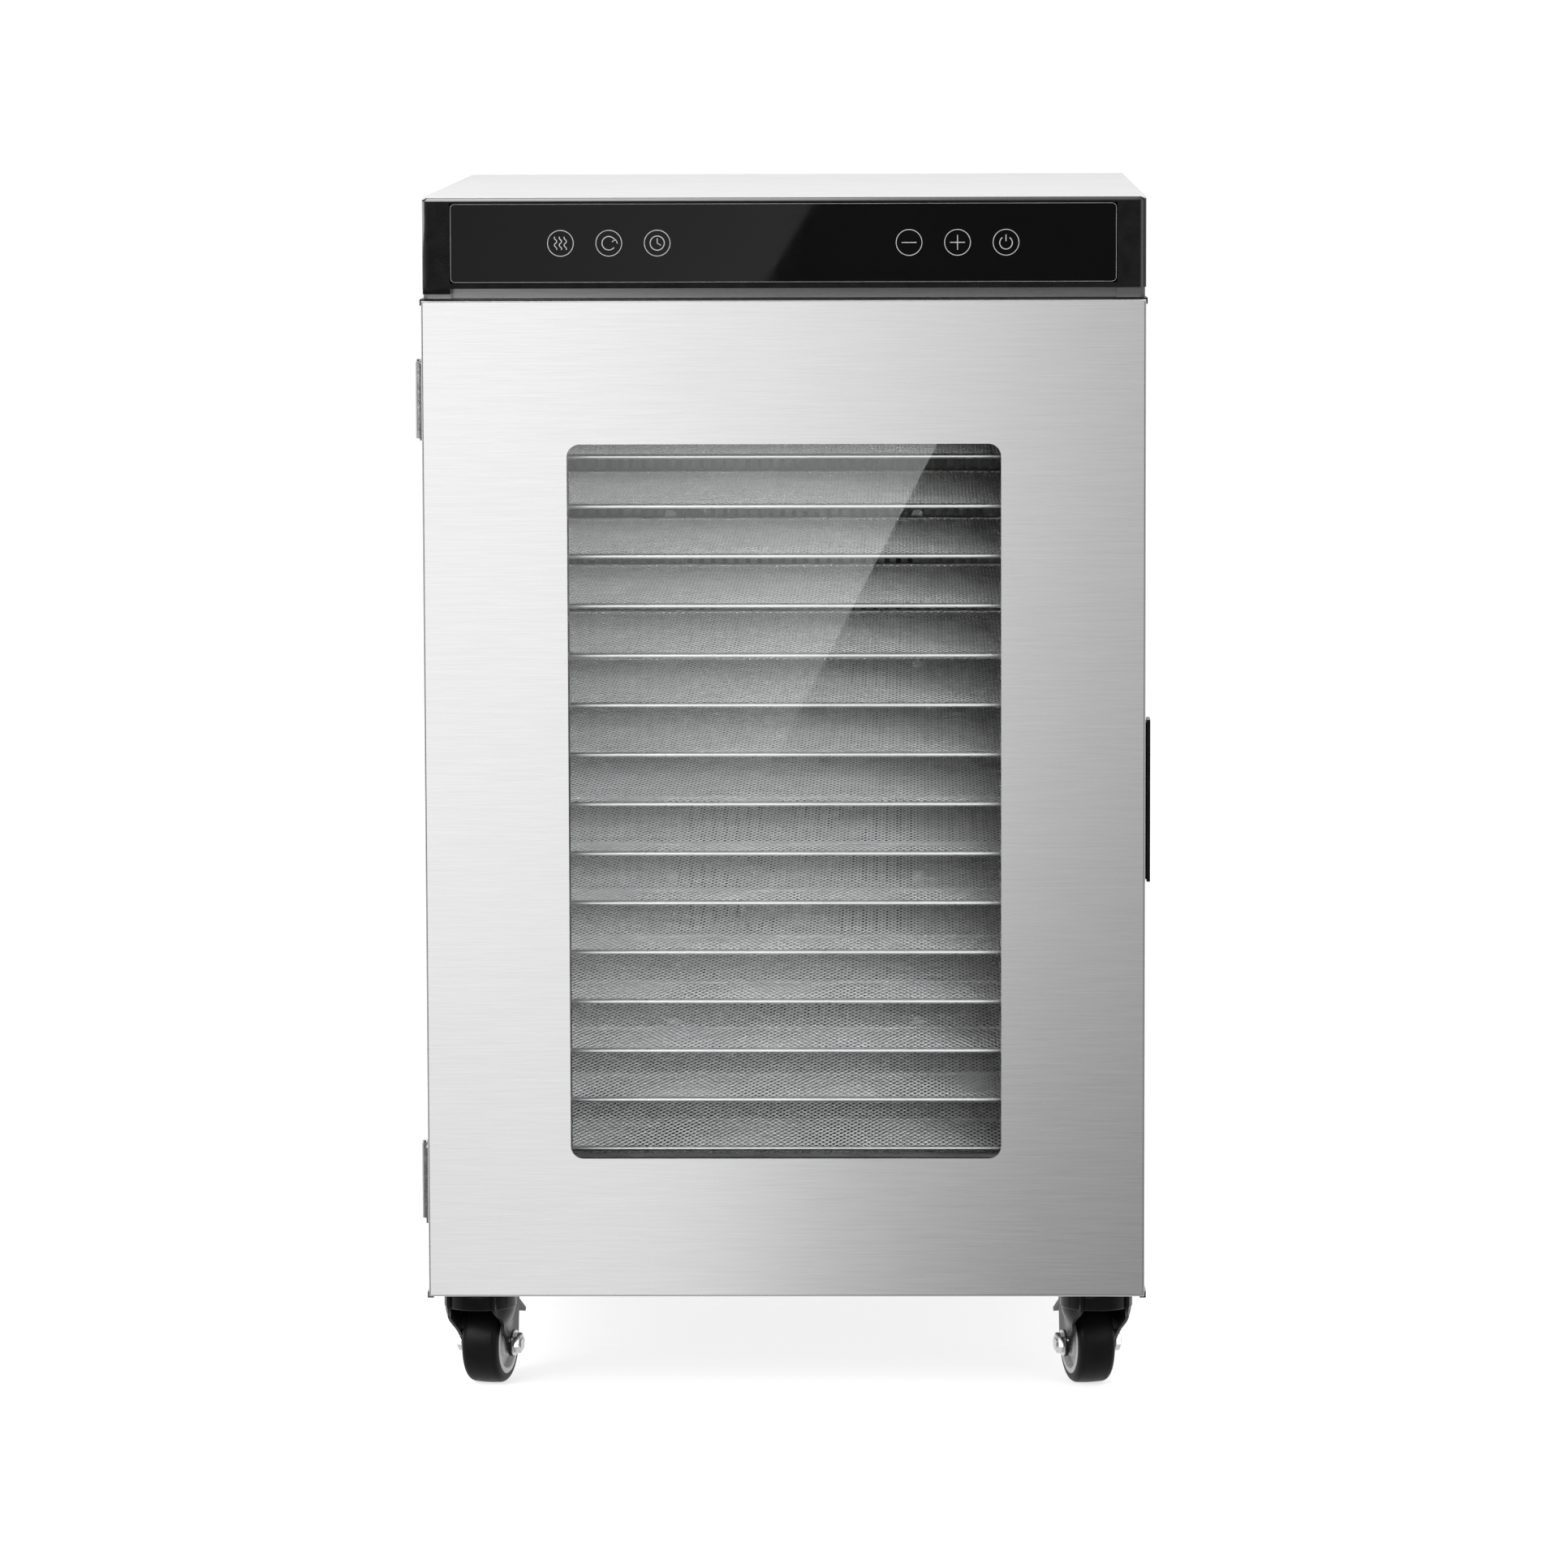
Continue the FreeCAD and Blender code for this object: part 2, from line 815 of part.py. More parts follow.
def build_power_board():
    """The power board on four pillars above the chamber: relays, a transformer and a plug."""
    board_x = (power_left, power_left + size["power_width"])
    board_y = (power_front, power_front + size["power_depth"])
    shapes = [block("board", board_x, board_y, (power_low, power_top))]
    for name, across, along, tall in POWER_BLOCKS:
        x = (power_left + across[0], power_left + across[1])
        y = (power_front + along[0], power_front + along[1])
        shapes.append(block(name, x, y, (power_top, power_top + tall)))
    for name, across, along, radius, tall in POWER_CANS:
        spot = (power_left + across, power_front + along, power_top)
        shapes.append(rod(name, radius, tall, spot))
    inset = size["pillar_inset"]
    for i, x in enumerate((board_x[0] + inset, board_x[1] - inset)):
        for j, y in enumerate((board_y[0] + inset, board_y[1] - inset)):
            spot = (x, y, power_floor)
            shapes.append(
                rod(f"pillar_{i}_{j}", size["pillar_radius"], size["pillar_height"], spot)
            )
    node("power_board", fuse("power_board", shapes))


def rounded_path(points, radius):
    """Straight runs between points, joined by tangent arcs of one radius."""
    edges = []
    start = points[0]
    for before, corner, after in zip(points, points[1:], points[2:]):
        to_corner = (corner - before).normalize()
        from_corner = (after - corner).normalize()
        half_turn = to_corner.getAngle(from_corner) / 2
        trim = radius * math.tan(half_turn)
        enter = corner - to_corner * trim
        leave = corner + from_corner * trim
        inward = (from_corner - to_corner).normalize()
        centre_gap = radius / math.cos(half_turn)
        bend = corner + inward * (centre_gap - radius)
        edges.append(Part.LineSegment(start, enter).toShape())
        edges.append(Part.Arc(enter, bend, leave).toShape())
        start = leave
    edges.append(Part.LineSegment(start, points[-1]).toShape())
    return Part.Wire(edges)


def build_control_fascia():
    """The black housing above the door: a shell open at the back, with a seat for the glass."""
    wall = size["fascia_wall"]
    body = new_body("fascia_shell")
    outline = sketch_in(body, "XY_Plane", fascia_low)
    draw_rectangle(outline, -side, side, front, frame_face)
    pad(body, outline, size["fascia_height"])
    round_edges(
        body,
        size["fascia_corner"],
        lambda edge: runs_along(edge, Vector(0, 0, 1)) and near(middle(edge).y, front),
    )
    hollow = block(
        "fascia_hollow",
        (-side + wall, side - wall),
        (front + size["fascia_front"], frame_face + 1),
        (fascia_low + wall, top - plate - wall),
    )
    lid_seat = block(
        "lid_seat",
        (-side - 1, side + 1),
        (front + wall, frame_face + 1),
        (top - plate - fit_gap / 2, top + 1),
    )
    seat_side = panel_side + fit_gap
    seat_low = panel_low - fit_gap
    seat_top = panel_top + fit_gap
    glass_seat = block(
        "glass_seat",
        (-seat_side, seat_side),
        (front - 1, front + size["panel_glass"]),
        (seat_low, seat_top),
    )
    ledge = size["panel_ledge"]
    key_window = block(
        "key_window",
        (-seat_side + ledge, seat_side - ledge),
        (front - 1, front + size["fascia_front"] + 1),
        (seat_low + ledge, seat_top - ledge),
    )
    shell = cut("fascia_cut", body, [hollow, lid_seat, glass_seat, key_window])
    foot = block(
        "fascia_foot",
        (-inner_side, -panel_side),
        (front + wall, frame_face - size["door_gap"]),
        (fascia_low - size["foot_height"], fascia_low),
    )
    node("control_fascia", fuse("control_fascia", [shell, foot]))


def build_touch_panel():
    half = panel_side
    body = new_body("touch_panel")
    sketch = sketch_in(body, "XZ_Plane", front)
    draw_rectangle(sketch, -half, half, panel_low, panel_top)
    pad(body, sketch, size["panel_glass"], reverse=True)
    round_edges(body, size["panel_corner"], lambda edge: runs_along(edge, Vector(0, 1, 0)))
    node("touch_panel", body)


def build_control_board():
    """The board behind the glass, with a sensing pad behind each of the six touch keys."""
    back_of_glass = front + size["panel_glass"]
    board_face = front + size["fascia_front"]
    margin = size["panel_ledge"] / 2
    half = panel_side - margin
    board = block(
        "control_pcb",
        (-half, half),
        (board_face, board_face + size["board_thick"]),
        (panel_low + margin, panel_top - margin),
    )
    shapes = [board]
    for index in range(3):
        for out in (-1, 1):
            key_x = (size["key_first"] + index * size["key_pitch"]) * out
            shapes.append(
                rod(
                    f"key_pad_{index}_{out + 1}",
                    size["key_radius"],
                    board_face - back_of_glass,
                    (key_x, back_of_glass, key_height),
                    "y",
                )
            )
    display = block(
        "display",
        (-30, 30),
        (back_of_glass, board_face),
        (key_height - 10, key_height + 10),
    )
    plug_face = board_face + size["board_thick"]
    plug = block(
        "control_plug",
        (loom_x - 10, loom_x + 10),
        (plug_face, plug_face + PLUG_DEPTH),
        (key_height - 5, key_height + 5),
    )
    node("control_board", fuse("control_board", shapes + [display, plug]))


def build_wiring_loom():
    """The wires from the controls to the power board, and from there to the inlet."""
    radius = number(size["loom_radius"])
    plug_y = number(front + size["fascia_front"] + size["board_thick"] + PLUG_DEPTH)
    plug_x = number(power_left) + 137
    plug_z = number(power_top) + 6
    board_y = number(power_front) + 4
    turn_y = (plug_y + board_y) / 2
    to_controls = [
        Vector(loom_x, plug_y, number(key_height)),
        Vector(loom_x, turn_y, number(key_height)),
        Vector(plug_x, turn_y + 30, plug_z),
        Vector(plug_x, board_y, plug_z),
    ]
    leave_x = number(power_left) + 144
    leave_y = number(power_front + size["power_depth"]) - 26
    run_z = number(power_top) + 30
    drop_x = number(inlet_x)
    inlet_y = number(rear - size["inlet_depth"])
    to_inlet = [
        Vector(leave_x, leave_y, number(power_top)),
        Vector(leave_x, leave_y, run_z),
        Vector(leave_x, (leave_y + inlet_y) / 2 + 10, run_z),
        Vector(drop_x, inlet_y - 50, run_z),
        Vector(drop_x, inlet_y - 50, number(inlet_z)),
        Vector(drop_x, inlet_y, number(inlet_z)),
    ]
    tubes = []
    for points in (to_controls, to_inlet):
        path = rounded_path(points, radius * 4)
        start = points[0]
        along = points[1] - points[0]
        section = Part.Wire([Part.Circle(start, along, radius).toShape()])
        tubes.append(path.makePipeShell([section], True, False))
    loom = doc.addObject("Part::Feature", "wiring_loom")
    loom.Shape = Part.makeCompound(tubes)
    node("wiring_loom", loom)


# how far each pin of the inlet stands from its middle, across and up
INLET_PINS = ((-7.0, -1.5), (0.0, 2.5), (7.0, -1.5))


def build_power_inlet():
    """A mains inlet in the rear panel: flange, socket with three pins, and its back."""
    half_w = size["inlet_width"] / 2
    half_h = size["inlet_height"] / 2
    outer = rear + size["inlet_flange"]
    inner = rear - size["inlet_depth"]
    wall = size["inlet_wall"]
    ear = size["flange_ear"]
    body = block(
        "inlet_body",
        (inlet_x - half_w, inlet_x + half_w),
        (inner, outer),
        (inlet_z - half_h, inlet_z + half_h),
    )
    flange = block(
        "inlet_flange",
        (inlet_x - half_w - ear, inlet_x + half_w + ear),
        (rear, outer),
        (inlet_z - half_h - wall, inlet_z + half_h + wall),
    )
    cavity = block(
        "inlet_cavity",
        (inlet_x - half_w + wall, inlet_x + half_w - wall),
        (inner + wall, outer + 1),
        (inlet_z - half_h + wall, inlet_z + half_h - wall),
    )
    socket = cut("inlet_socket", fuse("inlet_shell", [body, flange]), [cavity])
    pins = []
    for index, (across, up) in enumerate(INLET_PINS):
        pins.append(
            block(
                f"inlet_pin_{index}",
                (inlet_x + across - 1, inlet_x + across + 1),
                (inner + wall / 2, rear - wall * 2),
                (inlet_z + up - 2, inlet_z + up + 2),
            )
        )
    node("power_inlet", fuse("power_inlet", [socket] + pins))


# ---- door -------------------------------------------------------------------------------


def build_door_skin():
    """The outer pan of the door: a folded steel tray with the window and the pull's cut-out."""
    body = new_body("door_pan")
    outline = sketch_in(body, "XZ_Plane", front)
    draw_rectangle(outline, -side, side, door_low, door_top)
    pad(body, outline, size["door_thick"], reverse=True)
    round_edges(
        body,
        size["door_fold"],
        lambda edge: near(middle(edge).y, front) and edge.BoundBox.YLength < 0.001,
    )
    doc.recompute()
    inside = sketch_in(body, "XZ_Plane", front + plate)
    draw_rectangle(inside, -side + plate, side - plate, door_low + plate, door_top - plate)
    pocket(body, inside, size["door_thick"])
    window = sketch_in(body, "XZ_Plane", front)
    draw_rectangle(window, -window_side, window_side, window_low, window_top)
    pocket(body, window, size["door_thick"])
    round_edges(
        body,
        size["window_corner"],
        lambda edge: runs_along(edge, Vector(0, 1, 0))
        and near(abs(middle(edge).x), window_side)
        and edge.Length < 2 * SIZES["plate"],
    )
    notches = corner_blocks("notch", fit_gap / 2)
    handle_z = (door_low + door_top) / 2
    reach_z = size["handle_height"] / 2 - size["handle_step"] * 2 + fit_gap
    reach_y = size["handle_width"] / 2 - size["handle_step"] * 2 + fit_gap
    middle_y = (front + door_back) / 2
    slot = block(
        "handle_slot",
        (side - plate * 2, side + 1),
        (middle_y - reach_y, middle_y + reach_y),
        (handle_z - reach_z, handle_z + reach_z),
    )
    node("door_skin", cut("door_skin", body, notches + [slot]))


def corner_blocks(name, grow):
    """The four corners of the door that its plastic caps fill, grown by a gap."""
    blocks = []
    cap = size["cap_size"] + grow
    proud = size["cap_proud"]
    for across in (-1, 1):
        x = sorted(((side - cap) * across, (side + proud) * across), key=number)
        for high in (0, 1):
            if high:
                z = (door_top - cap, door_top + proud)
            else:
                z = (door_low - proud, door_low + cap)
            y = (front + size["door_fold"], door_back)
            blocks.append(block(f"{name}_{across + 1}_{high}", x, y, z))
    return blocks


def build_door_corner_caps():
    node("door_corner_caps", group("door_corner_caps", corner_blocks("cap", 0 * plate)))


def window_ring(name, grow, y, wall):
    """A rectangular ring round the window: its hole grown by one size, its wall another."""
    outer = block(
        f"{name}_outer",
        (-window_side - grow - wall, window_side + grow + wall),
        y,
        (window_low - grow - wall, window_top + grow + wall),
    )
    inner = block(
        f"{name}_inner",
        (-window_side - grow, window_side + grow),
        (y[0] - 1, y[1] + 1),
        (window_low - grow, window_top + grow),
    )
    return cut(name, outer, [inner])


def build_door_glass():
    lap = size["glass_lap"]
    node(
        "door_glass",
        block(
            "door_glass",
            (-window_side - lap, window_side + lap),
            (glass_front, glass_back),
            (window_low - lap, window_top + lap),
        ),
    )


def build_door_liner():
    """The door's inner pan: a plate behind, and a box wall that holds the glass forward."""
    gap = plate + fit_gap
    cap = size["cap_size"]
    outer = block(
        "liner_sheet",
        (-side + cap + gap, side - cap - gap),
        (door_back - plate, door_back),
        (door_low + cap + gap, door_top - cap - gap),
    )
    hole = block(
        "liner_hole",
        (-window_side, window_side),
        (door_back - plate - 1, door_back + 1),
        (window_low, window_top),
    )
    back = cut("liner_back", outer, [hole])
    tunnel = window_ring("liner_tunnel", 0 * plate, (glass_back, door_back), plate)
    rims = []
    for name, x, z in liner_rims(gap):
        rims.append(block(f"liner_rim_{name}", x, (front + plate + 1, door_back), z))
    pan = fuse("door_liner_pan", [back, tunnel] + rims)
    node("door_liner", pan)


def liner_rims(gap):
    """Two hems that seat the inner pan against the folded edges of the skin."""
    edge = side - plate
    cap = size["cap_size"]
    return (
        ("left", (-edge, -edge + plate), (door_low + cap + gap, door_top - cap - gap)),
        (
            "low",
            (-side + cap + gap, side - cap - gap),
            (door_low + plate, door_low + plate * 2),
        ),
    )


def build_door_gaskets():
    """The black seal round the glass, and the seal that closes on the face frame."""
    window = window_ring(
        "window_seal", 0 * plate, (front + plate, glass_front), size["glass_lap"]
    )
    inset = size["seal_inset"]
    wide = size["seal_width"]
    thick = size["door_gap"] - fit_gap
    outer = block(
        "door_seal_outer",
        (-chamber_side - inset - wide, chamber_side + inset + wide),
        (door_back, door_back + thick),
        (chamber_low - inset - wide, chamber_top + inset + wide),
    )
    inner = block(
        "door_seal_inner",
        (-chamber_side - inset, chamber_side + inset),
        (door_back - 1, door_back + thick + 1),
        (chamber_low - inset, chamber_top + inset),
    )
    node("door_gaskets", group("door_gaskets", [window, cut("door_seal", outer, [inner])]))


def build_door_handle():
    """A recessed finger pull in the door's free edge, with a thin lip that stands proud."""
    step = size["handle_step"]
    wall = size["handle_wall"]
    middle_y = (front + door_back) / 2
    middle_z = (door_low + door_top) / 2
    half_z = size["handle_height"] / 2
    half_y = size["handle_width"] / 2
    cup = block(
        "handle_cup",
        (side - size["handle_depth"], side + step),
        (middle_y - half_y + step * 2, middle_y + half_y - step * 2),
        (middle_z - half_z + step * 2, middle_z + half_z - step * 2),
    )
    lip = block(
        "handle_lip",
        (side + step, side + step + size["handle_lip"]),
        (middle_y - half_y, middle_y + half_y),
        (middle_z - half_z, middle_z + half_z),
    )
    shrink = step * 2 + wall
    recess = block(
        "handle_recess",
        (side - size["handle_depth"] + wall, side + step + size["handle_lip"] + 1),
        (middle_y - half_y + shrink, middle_y + half_y - shrink),
        (middle_z - half_z + shrink, middle_z + half_z - shrink),
    )
    node("door_handle", cut("door_handle", fuse("handle_solid", [cup, lip]), [recess]))


# ---- hinges and catches -----------------------------------------------------------------


def hinge_leaf_set(label, toward, first_knuckle):
    """The leaves of both hinges on one side of the pin: a plate, its knuckles and screws."""
    barrel = size["hinge_barrel"]
    pitch = size["hinge_height"] / size["knuckles"]
    sets = []
    for index, height in enumerate(hinge_heights):
        low = height - size["hinge_height"] / 2
        start = barrel + size["hinge_clear"]
        y = sorted((hinge_y + start * toward, hinge_y + size["hinge_reach"] * toward), key=number)
        leaf_x = (-side - size["hinge_leaf"], -side)
        shapes = [block(f"{label}_{index}", leaf_x, y, (low, low + size["hinge_height"]))]
        for knuckle in range(first_knuckle, int(SIZES["knuckles"]), 2):
            z0 = low + knuckle * pitch + fit_gap / 2
            length = pitch - fit_gap
            tongue_y = sorted((hinge_y, hinge_y + (start + 1) * toward), key=number)
            shapes.append(
                rod(f"{label}_{index}_knuckle_{knuckle}", barrel, length, (hinge_x, hinge_y, z0))
            )
            shapes.append(
                block(f"{label}_{index}_tongue_{knuckle}", leaf_x, tongue_y, (z0, z0 + length))
            )
        for screw in (-1, 1):
            shapes.append(
                rod(
                    f"{label}_{index}_screw_{screw + 1}",
                    size["screw_head"] * 0.75,
                    size["hinge_leaf"] + 0.5,
                    (
                        -side - size["hinge_leaf"] - 0.5,
                        hinge_y + size["hinge_reach"] * 0.6 * toward,
                        height + size["hinge_height"] * 0.3 * screw,
                    ),
                    "x",
                )
            )
        bore = rod(
            f"{label}_{index}_bore",
            size["pin_radius"] + running_gap,
            size["hinge_height"] + 2,
            (hinge_x, hinge_y, low - 1),
        )
        sets.append(cut(f"{label}_cut_{index}", fuse(f"{label}_all_{index}", shapes), [bore]))
    node(label, group(label, sets))


def build_hinge_pins():
    pins = []
    for index, height in enumerate(hinge_heights):
        low = height - size["hinge_height"] / 2
        shaft = rod(
            f"pin_{index}", size["pin_radius"], size["hinge_height"] + fit_gap, (hinge_x, hinge_y, low)
        )
        head = rod(
            f"pin_head_{index}",
            size["hinge_barrel"] * 0.8,
            1.5,
            (hinge_x, hinge_y, low + size["hinge_height"] + fit_gap / 2),
        )
        pins.append(fuse(f"hinge_pin_{index}", [shaft, head]))
    node("hinge_pins", group("hinge_pins", pins))


def build_magnet_catches():
    middle_z = (door_low + door_top) / 2
    seal_edge = chamber_side + size["seal_inset"] + size["seal_width"]
    catches = []
    for name, up in (("upper", 1), ("lower", -1)):
        centre = middle_z + (window_top - window_low) * 0.35 * up
        catches.append(
            block(
                f"catch_{name}",
                (seal_edge + 2, seal_edge + 8),
                (frame_face - size["door_gap"] + fit_gap * 2, frame_face),
                (centre - 20, centre + 20),
            )
        )
    node("magnet_catches", group("magnet_catches", catches))


def build_cabinet_screws():
    """Pan-head screws: four round each fan on the baffle, and a row down each rear edge."""
    screws = []
    spread = heater_radius + size["screw_spread"]
    for fan, height in enumerate(fan_heights):
        outward = 1 if fan == 0 else -1
        for across in (-1, 1):
            for row, up in enumerate((outward, -outward * 0.2)):
                screws.append(
                    rod(
                        f"baffle_screw_{fan}_{across + 1}_{row}",
                        size["screw_head"],
                        size["screw_rise"],
                        (
                            spread * across,
                            baffle_face - size["screw_rise"],
                            height + spread * up,
                        ),
                        "y",
                    )
                )
    rows = 4
    for across in (-1, 1):
        for row in range(rows):
            z = under + size["cab_height"] * (row + 0.5) / rows
            screws.append(
                rod(
                    f"rear_screw_{across + 1}_{row}",
                    size["screw_head"],
                    size["screw_rise"] * 0.75,
                    ((inner_side - 8) * across, rear, z),
                    "y",
                )
            )
    node("cabinet_screws", group("cabinet_screws", screws))


# ---- casters ----------------------------------------------------------------------------

# name, side of the cabinet (-1 left, 1 right), whether it is a front caster
CASTERS = (("fl", -1, True), ("fr", 1, True), ("rl", -1, False), ("rr", 1, False))
head_low = head_top - size["head_height"]
axle_z = size["wheel_radius"]
trail = size["caster_trail"]
leg_inner = size["wheel_width"] / 2 + size["wheel_gap"]
leg_outer = leg_inner + size["fork_steel"]
core_radius = size["wheel_radius"] - size["tread_wall"]
pedal_y = trail + 7
pedal_z = 2 * size["wheel_radius"] + 5


def stand(thing, side_sign, is_front, yaw=True):
    """Puts a caster piece, made round its own swivel axis, under its corner of the cabinet."""
    front_y = frame_face + size["caster_inset"]
    y = front_y if is_front else rear - size["caster_inset_rear"]
    turned = SIZES["caster_yaw"] * side_sign if yaw else 0.0
    x = (side - size["caster_side_inset"]) * side_sign
    return place(thing, x, y, 0, Rotation(Vector(0, 0, 1), turned))


def build_caster_plates():
    """Each caster's top plate, its ball race and the king pin that carries the fork."""
    sets = []
    half = size["caster_plate"] / 2
    for name, side_sign, is_front in CASTERS:
        shapes = [
            block(f"plate_{name}", (-half, half), (-half, half), (plate_low, under)),
            rod(
                f"race_{name}",
                size["head_radius"] * 0.8,
                size["race_height"] - fit_gap,
                (0, 0, head_top + fit_gap),
            ),
            rod(
                f"kingpin_{name}",
                size["kingpin_radius"],
                size["fork_steel"] + 4,
                (0, 0, head_top - size["fork_steel"] - 3),
            ),
            rod(
                f"pin_rivet_{name}",
                size["kingpin_radius"] + 3,
                3 - fit_gap,
                (0, 0, head_top - size["fork_steel"] - 3),
            ),
        ]
        sets.append(stand(fuse(f"caster_plate_{name}", shapes), side_sign, is_front, yaw=False))
    node("caster_plates", group("caster_plates", sets))


def leg_profile(name, x):
    """One leg of the fork: a plate that narrows from the head down to the axle."""
    z_top = head_top - size["fork_steel"] / 2
    reach = size["head_radius"] * 0.8
    eye = size["nut_radius"] + 2
    body = new_body(name)
    sketch = sketch_in(body, "YZ_Plane", x)
    corners = (
        (-reach, z_top),
        (pedal_y + 4, z_top),
        (pedal_y + 5, axle_z + eye),
        (trail + eye * 0.8, axle_z - eye * 0.75),
        (trail - eye * 0.8, axle_z - eye * 0.75),
        (-reach, head_low),
    )
    points = [Vector(number(y), number(z), 0) for y, z in corners]
    for index, point in enumerate(points):
        sketch.addGeometry(Part.LineSegment(point, points[(index + 1) % len(points)]))
    for index in range(len(points)):
        hold(sketch, "Coincident", index, 2, (index + 1) % len(points), 1)
    for index, (y, z) in enumerate(corners):
        hold(sketch, "DistanceX", -1, 1, index, 1, as_size(y))
        hold(sketch, "DistanceY", -1, 1, index, 1, as_size(z))
    pad(body, sketch, size["fork_steel"])
    return body


def as_size(value):
    return value if isinstance(value, Size) else Size(float(value), repr(float(value)))


def build_caster_forks():
    """Each fork: a domed head, two legs, and the bolt and nut that carry the wheel."""
    for name, side_sign, is_front in CASTERS:
        tag = f"fork_{name}"
        steel = size["fork_steel"]
        head = cut(
            f"{tag}_head",
            rod(f"{tag}_cup", size["head_radius"], size["head_height"], (0, 0, head_low)),
            [
                rod(
                    f"{tag}_hollow",
                    size["head_radius"] - steel,
                    size["head_height"] - steel + 1,
                    (0, 0, head_low - 1),
                ),
                block(
                    f"{tag}_notch",
                    (-leg_inner, leg_inner),
                    (0 * steel, size["head_radius"] + 1),
                    (head_low - 1, head_top - steel),
                ),
            ],
        )
        legs = [
            leg_profile(f"{tag}_leg_left", -leg_outer),
            leg_profile(f"{tag}_leg_right", leg_inner),
        ]
        pin_length = leg_outer * 2
        pedal_pin = rod(
            f"{tag}_pedal_pin", size["pedal_pin"], pin_length, (-leg_outer, pedal_y, pedal_z), "x"
        )
        axle_bore = rod(
            f"{tag}_axle_bore",
            size["axle_radius"] + running_gap,
            leg_outer * 2 + 2,
            (-leg_outer - 1, trail, axle_z),
            "x",
        )
        king_bore = rod(
            f"{tag}_king_bore",
            size["kingpin_radius"] + running_gap,
            steel + 2,
            (0, 0, head_top - steel - 1),
        )
        shell = fuse(f"{tag}_shell", [head] + legs + ([pedal_pin] if is_front else []))
        fork = cut(f"{tag}_steel", shell, [axle_bore, king_bore])
        nut = size["nut_height"]
        bolt = fuse(
            f"{tag}_bolt",
            [
                rod(
                    f"{tag}_axle",
                    size["axle_radius"],
                    leg_outer * 2 + nut * 2,
                    (-leg_outer - nut, trail, axle_z),
                    "x",
                ),
                hexagon(f"{tag}_nut", size["nut_radius"], nut, (leg_outer, trail, axle_z), "x"),
                hexagon(
                    f"{tag}_bolt_head", size["nut_radius"], nut, (-leg_outer - nut, trail, axle_z), "x"
                ),
            ],
        )
        parts = group(f"caster_fork_{name}", [fork, bolt])
        node(f"caster_fork_{name}", stand(parts, side_sign, is_front))


def build_caster_wheels():
    """Each wheel: a pale core that turns on the bolt, and a black tread round it."""
    half = size["wheel_width"] / 2
    for name, side_sign, is_front in CASTERS:
        tag = f"wheel_{name}"
        core = cut(
            f"{tag}_core",
            rod(f"{tag}_disc", core_radius, half * 2, (-half, trail, axle_z), "x"),
            [
                rod(
                    f"{tag}_bore",
                    size["axle_radius"] + running_gap,
                    half * 2 + 2,
                    (-half - 1, trail, axle_z),
                    "x",
                )
            ],
        )
        tyre = new_body(f"{tag}_tyre")
        round_tread = sketch_in(tyre, "YZ_Plane", -half)
        draw_circle(round_tread, trail, axle_z, size["wheel_radius"])
        draw_circle(round_tread, trail, axle_z, core_radius)
        pad(tyre, round_tread, half * 2)
        round_edges(
            tyre,
            size["tyre_round"],
            lambda edge: edge.Length > 6.0 * SIZES["wheel_radius"],
        )
        parts = group(f"caster_wheel_{name}", [core, tyre])
        node(f"caster_wheel_{name}", stand(parts, side_sign, is_front))


def build_brake_pedals():
    """The tread brakes of the two front casters: a lever on a pin behind the fork's head."""
    half = size["pedal_width"] / 2
    for name, side_sign, is_front in CASTERS:
        if not is_front:
            continue
        label = "brake_pedal_left" if side_sign < 0 else "brake_pedal_right"
        lever = block(
            f"{label}_lever", (-half, half), (0, size["pedal_reach"]), (0, size["pedal_thick"])
        )
        turn = Rotation(Vector(1, 0, 0), -SIZES["pedal_slope"])
        lift = turn.multVec(Vector(0, 0, -SIZES["pedal_thick"] / 2))
        lever_y = pedal_y + lift.y
        lever_z = pedal_z + lift.z
        place(lever, -half, lever_y, lever_z, turn)
        pin_at = (-half, pedal_y, pedal_z)
        barrel = rod(f"{label}_barrel", size["pedal_barrel"], half * 2, pin_at, "x")
        bore_at = (-half - 1, pedal_y, pedal_z)
        bore = rod(f"{label}_bore", size["pedal_pin"] + running_gap, half * 2 + 2, bore_at, "x")
        pedal = cut(label, fuse(f"{label}_solid", [lever, barrel]), [bore])
        node(label, stand(pedal, side_sign, is_front))


# ---- the whole object -------------------------------------------------------------------


def build_all():
    build_side_panels()
    build_top_panel()
    build_base_panel()
    build_rear_panel()
    build_front_frame()
    build_liners()
    build_chamber_plates()
    build_air_baffle()
    build_trays()
    build_fan_impellers()
    build_fan_motors()
    build_heater_elements()
    build_temperature_probe()
    build_power_board()
    build_control_fascia()
    build_touch_panel()
    build_control_board()
    build_wiring_loom()
    build_power_inlet()
    build_door_skin()
    build_door_corner_caps()
    build_door_glass()
    build_door_liner()
    build_door_gaskets()
    build_door_handle()
    hinge_leaf_set("hinge_cabinet_leaves", 1, 0)
    hinge_leaf_set("hinge_door_leaves", -1, 1)
    build_hinge_pins()
    build_magnet_catches()
    build_cabinet_screws()
    build_caster_plates()
    build_caster_forks()
    build_caster_wheels()
    build_brake_pedals()
    doc.recompute()


def check_all():
    """Stops the build if any object failed, or any sub-part is empty or not valid."""
    for thing in doc.Objects:
        if "Invalid" in thing.State or "Error" in thing.State:
            raise RuntimeError(f"{thing.Name} failed: {thing.State}")
    for label, thing in nodes.items():
        shape = thing.Shape
        if shape.isNull() or not shape.isValid() or not shape.Solids:
            raise RuntimeError(f"{label} has no valid solid")


def export_all():
    os.makedirs("parts", exist_ok=True)
    for label, thing in nodes.items():
        thing.Shape.exportStep(f"parts/{label}.step")


